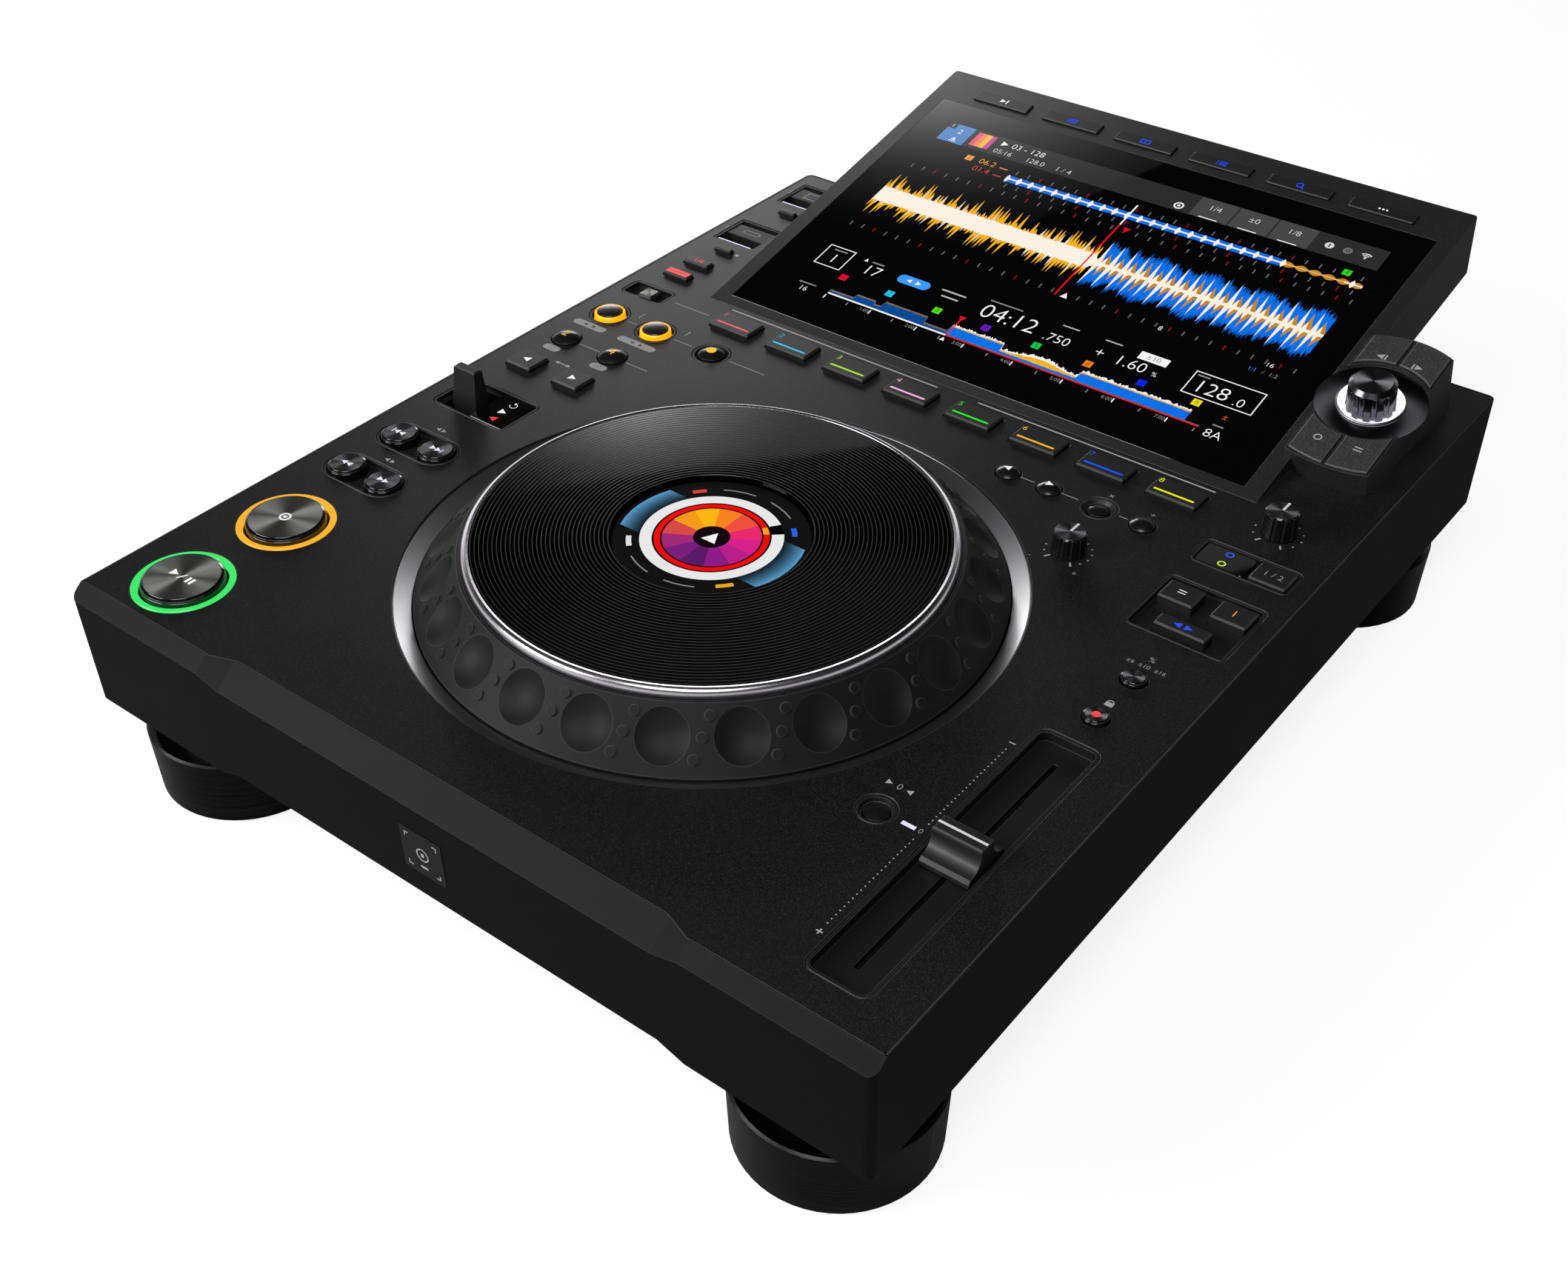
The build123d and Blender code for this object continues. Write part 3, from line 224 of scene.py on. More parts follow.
LEFT_EDGE = [(-0.02, 0.48), (-0.38, 0.0), (-0.78, 0.3), (-0.42, 0.78)]
screen_card = reflector("screen_card", [(x, y, 0.307) for x, y in LEFT_EDGE], (-0.30, 0.40), 0.6, 0.17, 3.5,
                        7.5)
disc_card = reflector("disc_card", [(x, y, 0.312) for x, y in LEFT_EDGE], (-0.32, 0.215), 1.0, 0.15, 3.2, 7.4)
rim_card = reflector("rim_card", [(x, y, 0.316) for x, y in LEFT_EDGE], (-0.20, 0.27), 1.0, 0.11, 1.0, 0.8)
right_card = reflector("right_card", level_corners(0.4, -0.4, 0.3, 0.32), (0.009, -0.013), 1.0, 0.24, 0.4, 0.19)
window_card = reflector("window_card", [(-0.0155, 0.25, 0.309), (0.067, 0.40, 0.309), (-0.1, 0.40, 0.309),
                                        (-0.1, 0.25, 0.309)], (-0.02, 0.34), 1.0, 0.16, 0.5, 0.35)
metal_card = reflector("metal_card", level_corners(0.22, -0.22, 0.22, 1.0), (0.0, 0.0), 1.0, 0.4, 0.5, 9.0)
strip_card = reflector("strip_card", [(-0.02, 0.92, 0.2), (-1.15, 0.05, 0.2), (-1.15, 0.05, 0.55),
                                      (-0.02, 0.92, 0.55)], (-0.5, 0.55), 1.0, 1.6, 0.5, 1.7)


# ==== Casing ====
# Main case and screen cover moulded in black ABS with a fine spark-eroded grain; bottom plate of black sheet
# steel, held by fourteen screws.
def grained(name, dark, light, roughness, grain, depth, level=0.5, edge=0.25, edge_highlight="4c4c4e"):
    """Moulded or sprayed surface: specks of a width and depth in mm, edges rounded in the shading, and a
    painted highlight along every edge.
    """
    material, tree, shader = surface(name, dark, roughness, level=level)
    place = local(tree)
    grains = noise(tree, 1000 / grain, place=place)
    speck = blend(tree, span(tree, grains, start=0.5, end=0.75), dark, light)
    sheen = span(tree, noise(tree, 25.0, place=place), roughness - 0.04, roughness + 0.04)
    soft = add(tree, "Bevel", {"samples": 4, "Radius": edge / 1000})
    flush = add(tree, "VectorMath", {"operation": "DOT_PRODUCT"},
                {0: soft.outputs[0], 1: add(tree, "NewGeometry").outputs["Normal"]})
    # painted highlight: a lighter colour mixed in where the rounded shading normal turns away from the face
    rim = span(tree, flush.outputs["Value"], start=0.995, end=0.93)
    tone = add(tree, "Mix", {"data_type": "RGBA", 7: colour(edge_highlight)}, {0: rim, 6: speck})
    bump = add(tree, "Bump", {"Strength": 1.0, "Distance": depth / 1000},
               {"Height": grains, "Normal": soft.outputs[0]})
    feed(tree, shader, {"Base Color": tone.outputs[2], "Roughness": sheen, "Normal": bump.outputs[0]})
    return material


def coat(material, *names):
    """Gives carried-over CAD nodes their finish."""
    for name in names:
        for place in frame["nodes"][name].material_slots:
            place.material = material


# black ABS: deep, even black with a faint sheen
coat(grained("spark_grained_abs", "111111", "161616", 0.45, 0.35, 0.02, level=0.08), "main_case")
# pressed steel under baked enamel: slight orange peel
coat(grained("enamelled_steel", "121212", "171717", 0.42, 1.6, 0.01), "bottom_plate")
# zinc-plated screws, blackened
coat(grained("blackened_zinc", "26262a", "3a3a3e", 0.35, 0.5, 0.01), "case_screws")


# ==== Feet ====
# Four turned aluminium cups, anodised black, whose fine turning marks run round them; each stands on a rubber
# pad.
turned, tree, shader = surface("turned_anodised_aluminium", "2c2c2e", 0.34, metallic=1.0)
place = local(tree)
lathe_marks = add(tree, "Mapping", {"Scale": (6.0, 6.0, 1600.0)}, {"Vector": place})
streaks = noise(tree, 1.0, 3.0, lathe_marks.outputs[0])
tone = blend(tree, streaks, "060607", "3c3c3e")
bump = add(tree, "Bump", {"Strength": 1.0, "Distance": 0.00005}, {"Height": streaks})
feed(tree, shader, {"Base Color": tone, "Normal": bump.outputs[0]})
coat(turned, "feet")
# natural rubber: dull, slightly grey
coat(grained("pad_rubber", "0d0d0d", "151515", 0.85, 0.8, 0.03, level=0.2), "foot_pads")


# ==== Deck ====
# The top panel is sheet with a textured black coat whose fine flecks catch the light; the control frame under
# it makes the rims and floors of the recesses.
coat(grained("textured_deck_coat", "101011", "333334", 0.42, 0.35, 0.03, level=0.35, edge=0.3), "top_panel")
coat(grained("moulded_rim_abs", "131313", "191919", 0.45, 0.3, 0.012, level=0.4), "control_frame",
     "slider_tray")

MIDDLE_Y, DECK_Z = 0.23079, 0.0818
DECK = Matrix.Translation((0, -MIDDLE_Y, DECK_Z))


def bar(x, y, width, depth, code, level=0):
    """Printed rectangle about a middle point, in mm."""
    w, d = width / 2, depth / 2
    return [(code, level, [(x - w, y - d), (x + w, y - d), (x + w, y + d), (x - w, y + d)])]


def shape(points, code, level=0):
    return [(code, level, points)]


def ring(x, y, outer, inner, code, start=0, end=360, level=0, steps=48):
    """Printed arc or full ring; with no inner radius it is a disc or a slice."""
    count = max(3, round(steps * abs(end - start) / 360))
    turns = [math.radians(start + (end - start) * i / count) for i in range(count + 1)]
    far = [(x + outer * math.cos(a), y + outer * math.sin(a)) for a in turns]
    if not inner:
        return [(code, level, far[:-1] if abs(end - start) == 360 else [(x, y)] + far)]
    near = [(x + inner * math.cos(a), y + inner * math.sin(a)) for a in turns]
    return [(code, level, [near[i], far[i], far[i + 1], near[i + 1]]) for i in range(count)]


def arrow(x, y, size, code, level=0, turn=0):
    """Solid triangle that points along +X, turned by an angle."""
    points = [(-0.5, -0.55), (0.55, 0), (-0.5, 0.55)]
    c, s = math.cos(math.radians(turn)) * size, math.sin(math.radians(turn)) * size
    return [(code, level, [(x + px * c - py * s, y + px * s + py * c) for px, py in points])]


def figures(text, x, y, height, code, level=0, align="CENTER", turn=0):
    """Figures and signs in the plain built-in face; x, y is the middle of their line, or its left end."""
    curve = bpy.data.curves.new("figures", "FONT")
    curve.body, curve.size = text, height / 0.73
    curve.align_x, curve.align_y = align, "CENTER"
    curve.resolution_u = 4
    curve.offset = -0.014 * curve.size
    obj = stand("figures", curve)
    made = bpy.data.meshes.new_from_object(obj.evaluated_get(bpy.context.evaluated_depsgraph_get()))
    c, s = math.cos(math.radians(turn)), math.sin(math.radians(turn))
    spots = [(x + v.co.x * c - v.co.y * s, y + v.co.x * s + v.co.y * c) for v in made.vertices]
    shapes = [(code, level, [spots[i] for i in face.vertices]) for face in made.polygons]
    bpy.data.objects.remove(obj)
    bpy.data.curves.remove(curve)
    bpy.data.meshes.remove(made)
    return shapes


def fasten(build, name, place, material, body):
    """Makes a finished mesh into a piece that moves with a body."""
    mesh = bpy.data.meshes.new(name)
    build.to_mesh(mesh)
    build.free()
    mesh.materials.append(material)
    obj = stand(name, mesh)
    obj.matrix_world = place
    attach(obj, body)
    return obj


LEVEL_STEP, INK_THICK = 0.012, 0.06


def marks(name, shapes, place, material, body, lift=0.03):
    """One thin layer of ink or light from many shapes, each in its own colour; level stacks them."""
    build = bmesh.new()
    ink = build.loops.layers.float_color.new("ink")
    for code, level, points in shapes:
        height = (lift + level * LEVEL_STEP) / 1000
        face = build.faces.new([build.verts.new((x / 1000, y / 1000, height)) for x, y in points])
        face.normal_update()
        if face.normal.z < 0:
            face.normal_flip()
        for loop in face.loops:
            loop[ink] = colour(code)
    bmesh.ops.remove_doubles(build, verts=build.verts, dist=1e-6)
    obj = fasten(build, name, place, material, body)
    solid = obj.modifiers.new("thickness", "SOLIDIFY")
    solid.thickness, solid.offset = INK_THICK / 1000, -1.0
    return obj


def inked(name, roughness, glow=0.0):
    """Surface that takes its colour from the ink of each shape; glow lights it from behind."""
    material, tree, shader = surface(name, "000000", roughness)
    ink = add(tree, "Attribute", {"attribute_name": "ink"})
    wear = span(tree, noise(tree, 2500.0, 1.0), 0.82)
    tone = add(tree, "Mix", {"data_type": "RGBA", "blend_type": "MULTIPLY", 0: 1.0},
               {6: ink.outputs["Color"], 7: wear})
    if glow:
        feed(tree, shader, {"Emission Color": ink.outputs["Color"]})
        shader.inputs["Emission Strength"].default_value = glow
    else:
        feed(tree, shader, {"Base Color": tone.outputs[2]})
    return material


# screen-printed ink: flat pale grey, slightly uneven
print_ink = inked("screen_printed_ink", 0.55)
# printed windows lit from behind: clear colour at an even glow
lit_ink = inked("backlit_print", 0.3, glow=1.0)

PALE, DIM = "b4b4b4", "8a8a8a"
deck_print = bar(-59.6, 279, 101.4, 0.75, PALE) + bar(60.15, 279, 100.3, 0.75, PALE)
for x0, x1, y in [(-138, -133, 245.5), (-113.5, -104, 245.5), (-85, -67.5, 245.5), (-141, -130, 219.8),
                  (-116.5, -105.5, 219.8), (-133, -115, 269.3), (50, 56, 245.2), (67, 74, 245.2),
                  (90.5, 94, 245.2)]:
    deck_print += bar((x0 + x1) / 2, y, x1 - x0, 0.5, DIM)


def pill(x, y, width, depth, code, level=0):
    """Printed label field with round ends."""
    r = depth / 2 - 0.01
    w = width / 2 - r
    return (bar(x, y, 2 * w, depth, code, level) + ring(x - w, y, depth / 2, 0, code, 90, 270, level)
            + ring(x + w, y, depth / 2, 0, code, -90, 90, level))


for x, y, width in [(-148, 233.5, 16.5), (-123, 233.5, 19), (-147.8, 210.8, 8), (-123, 210.8, 8)]:
    deck_print += pill(x, y, width, 3.9, "9c9c9c")
deck_print += figures("÷2", -147.8, 210.8, 2.1, "101010", 1) + figures("×2", -123, 210.8, 2.1, "101010", 1)
for x in (-148, -123):
    deck_print += arrow(x - 2.2, 233.5, 1.8, "101010", 1, 180) + arrow(x + 2.2, 233.5, 1.8, "101010", 1)
SCALES = [((87.35, 216.3), 8.2, 24.3, -55, 13), ((139.45, 269.2), 8.57, 30.0, -60, 11)]
for (x, y), radius, step, first, count in SCALES:
    for i in range(count):
        turn = first + i * step
        if i in (0, count - 1):
            deck_print += ring(x, y, radius + 0.9, radius - 1.3, PALE, turn - 2.2, turn + 2.2)
        else:
            angle = math.radians(turn)
            deck_print += ring(x + radius * math.cos(angle), y + radius * math.sin(angle), 0.32, 0, PALE,
                               steps=12)
SLIDER_X, ZERO_Y = 139.2, 72.4
for i in range(22):
    deck_print += ring(125.4, 76.3 + i * 1.94, 0.26, 0, PALE, steps=10)
    deck_print += ring(125.4, 68.5 - i * 1.93, 0.26, 0, PALE, steps=10)
deck_print += figures("0", 125.2, ZERO_Y, 2.1, PALE)
deck_print += bar(125.5, 24.2, 2.2, 0.45, PALE) + bar(125.5, 24.2, 0.45, 2.2, PALE, 1)
deck_print += bar(125.5, 120.5, 2.2, 0.45, PALE)
deck_print += figures("±6  ±10  ±16", 139.3, 177.0, 1.9, PALE) + figures("%", 139.3, 181.0, 2.6, PALE)
deck_print += bar(139.3, 153.9, 2.8, 2.0, PALE) + ring(139.3, 154.9, 1.2, 0.8, PALE, 0, 180, 1, 32)
deck_print += figures("0", 109.9, 84.0, 2.6, PALE) + arrow(106.4, 84.0, 2.0, PALE)
deck_print += arrow(113.4, 84.0, 2.0, PALE, 0, 180)
deck_print += figures("[", -136.4, 252.6, 2.8, PALE) + figures("]", -112.0, 252.6, 2.8, PALE)
deck_print += figures("×", 82.3, 254.2, 3.0, PALE) + figures("+", 99.8, 252.6, 3.0, PALE)
deck_print += figures("1", -160.0, 336.5, 2.8, PALE) + figures("2", -160.0, 382.0, 2.8, PALE)
deck_print += figures("-", 78.0, 206.5, 2.6, PALE) + figures("+", 95.6, 206.0, 2.6, PALE)
for x, y in ((-139.4, 318.0), (-139.4, 363.2)):
    deck_print += bar(x, y, 1.5, 1.5, PALE)
for x, y in ((-137.5, 114.2), (-137.7, 140.3)):
    deck_print += arrow(x - 1.4, y, 1.8, PALE, 0, 180) + arrow(x + 1.4, y, 1.8, PALE)
deck_print += bar(-135.3, 203.8, 3.6, 0.5, PALE) + arrow(-138.2, 203.8, 1.8, PALE, 0, 180)
deck_print += arrow(-132.4, 203.8, 1.8, PALE)
marks("deck_print", deck_print, DECK, print_ink, "root")
# painted shade and highlight: a black line over the open gap round the inset panel, and a lighter line on the
# case rim outside it
SEAM_EDGE = [(163.7, 401.6), (163.7, 1.0), (99.0, 1.0), (89.0, 4.6), (-89.0, 4.6), (-99.0, 1.0), (-163.7, 1.0),
             (-163.7, 401.6)]
SEAM_SHADE_AND_HIGHLIGHT = ((0.0, 0.5, "020202"), (-0.45, -0.2, "464648"))
seam_shade_and_highlight = []
for (ax, ay), (bx, by) in zip(SEAM_EDGE, SEAM_EDGE[1:]):
    run = math.hypot(bx - ax, by - ay)
    nx, ny = (by - ay) / run, (ax - bx) / run
    for near, far, code in SEAM_SHADE_AND_HIGHLIGHT:
        seam_shade_and_highlight += shape([(ax + nx * near, ay + ny * near), (bx + nx * near, by + ny * near),
                            (bx + nx * far, by + ny * far), (ax + nx * far, ay + ny * far)], code)
marks("panel_seam", seam_shade_and_highlight, DECK, print_ink, "root")
marks("zero_light", bar(121.1, ZERO_Y, 4.7, 1.5, "e8e4ff"), DECK, lit_ink, "root")


# ==== Jog wheel ====
# A touch disc with a record-like moulded groove, a chromed trim ring and a rubber-faced cone with finger
# dimples. It turns on a ball bearing in a satin aluminium well; the round display in the middle stands still.
def lathe(name, outline, place, material, body, steps=128):
    """Turns an outline of (radius, height) points, in mm, about its own axis. Hard corners stay crisp."""
    build = bmesh.new()
    rings = []
    for radius, height in outline:
        spots = 1 if radius < 1e-6 else steps
        rings.append([build.verts.new((radius * math.cos(2 * math.pi * i / steps) / 1000,
                                       radius * math.sin(2 * math.pi * i / steps) / 1000, height / 1000))
                      for i in range(spots)])
    for low, high in zip(rings, rings[1:]):
        for i in range(steps):
            j = (i + 1) % steps
            corner = [low[i % len(low)], low[j % len(low)], high[j % len(high)], high[i % len(high)]]
            face = build.faces.new(list(dict.fromkeys(corner)))
            face.smooth = True
    build.normal_update()
    for side in build.edges:
        side.smooth = side.calc_face_angle(0.0) < math.radians(28)
    return fasten(build, name, place, material, body)


def at(x, y, height=0.0, base=DECK):
    """A place on the deck or the screen face, in mm."""
    return base @ Matrix.Translation((x / 1000, y / 1000, height / 1000))


def spun(name, code, roughness, pull=0.9):
    """Face turned on a lathe: its marks run round the middle and draw the light into spokes."""
    material, tree, shader = surface(name, code, roughness, 1.0)
    way = add(tree, "Tangent", {"direction_type": "RADIAL", "axis": "Z"})
    feed(tree, shader, {"Tangent": way.outputs[0]})
    shader.inputs["Anisotropic"].default_value = pull
    place = local(tree)
    radius = add(tree, "VectorMath", {"operation": "LENGTH"}, {0: place})
    lines = add(tree, "TexNoise", {"noise_dimensions": "1D", "Scale": 6000.0, "Detail": 1.0},
                {"W": radius.outputs["Value"]})
    tone = span(tree, lines.outputs[0], 0.72)
    dull = add(tree, "Mix", {"data_type": "RGBA", "blend_type": "MULTIPLY", 0: 1.0, 6: colour(code)}, {7: tone})
    feed(tree, shader, {"Base Color": dull.outputs[2]})
    return material


JOG_X, JOG_Y = -0.6, 132.67
JOG = at(JOG_X, JOG_Y)
# satin aluminium, turned on a lathe and blasted: bright but blurred
satin = spun("satin_aluminium", "cfcfd2", 0.28, 0.0)
well = lathe("well_funnel", [(105.95, -0.9), (106.05, -0.8), (106.45, -0.8), (106.45, -13.0), (100.4, -13.0),
                             (100.4, -3.5), (105.95, -0.9)], JOG, satin, "root", 256)
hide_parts("well_ring")
coat(grained("pan_abs", "0b0b0b", "101010", 0.6, 0.4, 0.015), "jog_base")
coat(grained("ground_bearing_steel", "6c6c70", "8a8a8e", 0.25, 0.3, 0.003), "jog_bearing")
# soft-touch rubber: dull charcoal, a little lighter at a glancing angle, with a painted highlight round the
# rims of its dimples and studs
coat(grained("soft_touch_rubber", "161617", "1d1d1e", 0.52, 0.3, 0.01, level=0.16, edge=0.4, edge_highlight="505052"),
     "jog_wheel")

# chrome over turned brass: near white where it faces the light, grey between
chrome = spun("turned_chrome", "ccc8ce", 0.25, 0.0)
trim = lathe("jog_trim_ring", [(79.55, 12.2), (82.7, 12.2), (82.7, 14.4), (82.5, 15.4), (82.1, 16.1),
                               (81.5, 16.6), (80.7, 16.8), (79.9, 16.6), (79.55, 16.1), (79.55, 12.2)], JOG,
             chrome, "jog", 256)
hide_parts("jog_trim")

# the real grooves, 0.96 mm apart, are too fine to show, so they are drawn coarser
GROOVE_START, GROOVE_PITCH = 34.6, 1.45
outline = [(34.0, 12.2), (34.0, 16.6), (34.12, 16.72), (79.45, 16.72), (79.45, 12.2), (34.0, 12.2)]
# polycarbonate moulded like a record: wet black gloss on the lands and a matt floor in each groove, painted a
# lighter grey as a painted sheen for the light the grooves catch
vinyl, tree, shader = surface("grooved_polycarbonate", "020202", 0.1, level=0.25)
place = local(tree)
flat = add(tree, "VectorMath", {"operation": "MULTIPLY", 1: (1, 1, 0)}, {0: place})
radius = add(tree, "VectorMath", {"operation": "LENGTH"}, {0: flat.outputs[0]})
turns = add(tree, "MapRange", {"clamp": False, "From Min": GROOVE_START / 1000,
                               "From Max": (GROOVE_START + GROOVE_PITCH) / 1000},
            {"Value": radius.outputs["Value"]})
part = add(tree, "Math", {"operation": "FRACT"}, {0: turns.outputs[0]})
middle = add(tree, "Math", {"operation": "SUBTRACT", 1: 0.77}, {0: part.outputs[0]})
away = add(tree, "Math", {"operation": "ABSOLUTE"}, {0: middle.outputs[0]})
floor_share = span(tree, away.outputs[0], start=0.2, end=0.06)
rough = span(tree, noise(tree, 700.0, place=place), 0.03, 0.06)
dull = add(tree, "Mix", {3: 0.4}, {0: floor_share, 2: rough})
# painted sheen: the groove floors are drawn lighter than the black lands
tone = blend(tree, floor_share, "020202", "1d1d1d")
bump = add(tree, "Bump", {"Strength": 0.3, "Distance": 0.00002, "invert": True}, {"Height": floor_share})
feed(tree, shader, {"Normal": bump.outputs[0], "Roughness": dull.outputs[0], "Base Color": tone})
disc = lathe("jog_touch_disc", outline, JOG, vinyl, "jog", 256)
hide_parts("jog_disc")

def clear_black(name, code, roughness, scale, detail, low, high):
    """Clear sheet over black, whose shine varies a little with dust and smears."""
    material, tree, shader = surface(name, code, roughness)
    feed(tree, shader, {"Roughness": span(tree, noise(tree, scale, detail), low, high)})
    return material


# clear polycarbonate over black: a deep, wet black
gloss = clear_black("black_backed_window", "050505", 0.04, 60.0, 3.0, 0.02, 0.07)
coat(gloss, "jog_display")
# liquid-crystal picture under a clear window: even light, and the window's gloss over it
picture = inked("lit_display_picture", 0.06, glow=1.0)

jog_picture = ring(0, 0, 33.0, 24.0, "111112", steps=96) + ring(0, 0, 19.9, 0, "050505", level=1, steps=96)
BANDS = 12
for side in (0, 180):
    for i in range(BANDS):
        near, far = 24.0 + 7.7 * i / BANDS, 24.0 + 7.7 * (i + 1) / BANDS
        swing = math.degrees(math.asin(13.0 / far))
        glow = 0.15 + 0.85 * (i + 1) / BANDS
        code = "".join(f"{round(level * glow):02x}" for level in (86, 150, 196))
        jog_picture += ring(0, 0, far, near, code, side - swing, side + swing, 1)
jog_picture += ring(0, 0, 24.0, 19.9, "e8e8e8", 55, 401, 2, 96)
jog_picture += ring(0, 0, 19.2, 17.2, "f00808", 54, 402, 2, 96) + ring(0, 0, 19.2, 17.2, "ff9e0a", 42, 54, 2)
WHEEL = ["d8208c", "e8286c", "f0503c", "f88420", "fcb414", "f89a18", "d84a48", "a02878", "78207c", "5a1a68",
         "8c1c84", "b81e8c"]
for i, code in enumerate(WHEEL):
    jog_picture += ring(0, 0, 16.6, 0, code, i * 30, i * 30 + 30, 2)
jog_picture += ring(0, 0, 6.2, 0, "14060f", level=3) + arrow(0.4, 0, 5.2, "f4f4f4", 4, 90)
for start, end, code in [(60, 84, DIM), (97, 121, DIM), (133, 143, "e04040"), (38, 48, "2860e0"),
                         (216, 228, "e0e0e0"), (240, 262, DIM), (276, 298, DIM), (312, 324, "e8a81c")]:
    jog_picture += ring(0, 0, 28.4, 27.9 if code == DIM else 26.6, code, start, end, 2)
marks("jog_picture", jog_picture, at(JOG_X, JOG_Y, 14.5), picture, "root")


# ==== Screen ====
# Moulded housing with the deck's texture, a flush glass bonded into it over a liquid-crystal module, and six
# low keys above the glass.
coat(grained("textured_housing_abs", "19191a", "3c3c3e", 0.44, 0.35, 0.03, level=0.62), "screen_housing",
     "screen_back", "selector_pod")
# toughened glass with a black border printed behind it
coat(clear_black("black_backed_glass", "040404", 0.03, 40.0, 4.0, 0.015, 0.05), "screen_glass", "lcd_module")

FACE_START, TILT = 281.84, 12.747
FACE = DECK @ Matrix.Translation((0, FACE_START / 1000, 0)) @ Matrix.Rotation(math.radians(TILT), 4, "X")
LCD_LEFT, LCD_RIGHT, LCD_HIGH = -103.0, 104.7, 149.2
WAVE_BLUE, WAVE_ORANGE, WAVE_CREAM, WAVE_EDGE = "0a70e8", "f5b324", "fbf1e3", "c8861a"
RED, WHITE, GREY = "e01020", "f4f4f4", "8c8c8c"


def box(x0, y0, x1, y1, code, level=0):
    return bar((x0 + x1) / 2, (y0 + y1) / 2, x1 - x0, y1 - y0, code, level)


def frame_line(x0, y0, x1, y1, line, code, level=0):
    """Four thin bars round a rectangle."""
    return (box(x0, y0, x1, y0 + line, code, level) + box(x0, y1 - line, x1, y1, code, level)
            + box(x0, y0 + line, x0 + line, y1 - line, code, level)
            + box(x1 - line, y0 + line, x1, y1 - line, code, level))


def band(xs, tops, bottoms, code, level):
    """Filled strip between two lines over the same x places."""
    return [(code, level, [(xs[i], bottoms[i]), (xs[i + 1], bottoms[i + 1]), (xs[i + 1], tops[i + 1]),
                           (xs[i], tops[i])]) for i in range(len(xs) - 1)]


def wave(xs, middle, layers, below=1.0):
    """Bands about a middle line, each (heights, colour); the lower half may be shallower."""
    shapes = []
    for level, (heights, code) in enumerate(layers):
        shapes += band(xs, [middle + h for h in heights], [middle - below * h for h in heights], code, level)
    return shapes


def label(text, x, u, height, code, level=0):
    """Figures that start at x."""
    return figures(text, x, u, height, code, level, "LEFT")


lcd = box(LCD_LEFT, 136.0, LCD_RIGHT, LCD_HIGH, "2c2c2c")
lcd += box(LCD_LEFT, 136.0, -90, 145.4, "4a7fc0", 1) + box(-99.2, 145.4, -90, LCD_HIGH, "4a7fc0", 1)
lcd += figures("1", -101.2, 147.4, 2.4, WHITE, 2) + figures("2", -95.6, 144.4, 3.4, WHITE, 2)
lcd += arrow(-95.6, 139.2, 2.2, "d8e4f4", 2, 90) + bar(-95.6, 137.4, 3.4, 0.6, "d8e4f4", 2)
for i, code in enumerate(["e05a78", "f08a50", "f4b840", "c04890"]):
    lcd += box(-87.5 + 2.375 * i, 138.2, -85.125 + 2.375 * i, 147.9, code, 1)
lcd += arrow(-72.6, 145.1, 3.0, WHITE, 1) + label("03 - 128", -69, 145.1, 3.6, WHITE, 1)
lcd += label("05:16", -75, 139.3, 3.1, "dcdcdc", 1) + label("128.0", -58.5, 139.3, 3.1, "dcdcdc", 1)
lcd += label("1 / 4", -43.5, 139.3, 3.1, "dcdcdc", 1)
lcd += ring(16, 139.4, 2.2, 1.5, WHITE, level=1, steps=24) + ring(16, 139.4, 0.7, 0, WHITE, level=1, steps=12)
for i, sign in enumerate(["1/4", "±0", "1/8"]):
    left = 22.2 + 17.7 * i
    lcd += box(left, 136.3, left + 16.9, 149.0, "474747", 1)
    lcd += figures(sign, left + 8.4, 143.6, 3.3, "dedede", 2)
    lcd += box(left + 4.3, 136.4, left + 12.6, 136.9, WHITE, 2)
lcd += ring(81.7, 142.5, 1.9, 0, "d4d4d4", level=1, steps=24) + bar(81.7, 142.5, 0.6, 2.2, "2c2c2c", 2)
lcd += ring(89.5, 142.5, 1.9, 0, "707070", level=1, steps=24)
lcd += ring(89.5, 142.5, 0.9, 0.5, "2c2c2c", level=2, steps=20)
for reach in (1.2, 2.2, 3.2):
    lcd += ring(97.3, 141.0, reach, reach - 0.55, "d4d4d4", 45, 135, 1, 32)
lcd += ring(97.3, 141.0, 0.45, 0, "d4d4d4", level=1, steps=12)

lcd += box(-83, 128.2, -79.6, 131.6, "f0a03c") + figures("2", -81.3, 129.9, 2.4, "2a1a08", 1)
lcd += label("06.2", -76.2, 129.9, 3.6, "f0a03c") + label("01.4", -76.2, 124.4, 3.6, "e83a44")
for u, code in ((129.4, "c88432"), (123.9, "b83038")):
    lcd += bar(-63.4, u, 4.0, 0.7, code)

# the small wave above, two colours of one bar after another
BEAT = 5.87
random.seed(11)
SMALL_START, GOLD_FROM = -59, 70
xs = [SMALL_START + 0.35 * i for i in range(468)]
small_blue, small_gold, small_cream = [], [], []
for x in xs:
    along = ((x - SMALL_START) / BEAT) % 1
    late = x > GOLD_FROM
    small_blue.append(0.15 if late else 2.3 - 0.5 * random.random() * along)
    small_gold.append(abs(math.sin((x - GOLD_FROM) / BEAT * math.pi)) * 1.5 + 0.25 if late
                      else 0.9 * (1 - along))
    small_cream.append(0.1 + (0.0 if 72 < x < 97 else 2.2 * max(0.0, 1 - abs(along - 0.12) * 5) + 0.3))
SMALL_U = 124.3
lcd += wave(xs, SMALL_U, ((small_blue, WAVE_BLUE), (small_gold, WAVE_EDGE), (small_cream, WAVE_CREAM)))
lcd += box(0.6, 117.6, 1.3, 132, WHITE, 3)
for i in range(-10, 18):
    x = 2.4 + BEAT * i
    if x < LCD_RIGHT:
        for u in (129.0, 119.6):
            lcd += bar(x, u, 0.45, 2.6, "a01020" if i % 4 == 0 else "6c6c6c", 3)
lcd += box(93.6, 128.3, 97.0, 131.7, "30d820", 4) + figures("4", 95.3, 130, 2.4, "0a2a06", 5)

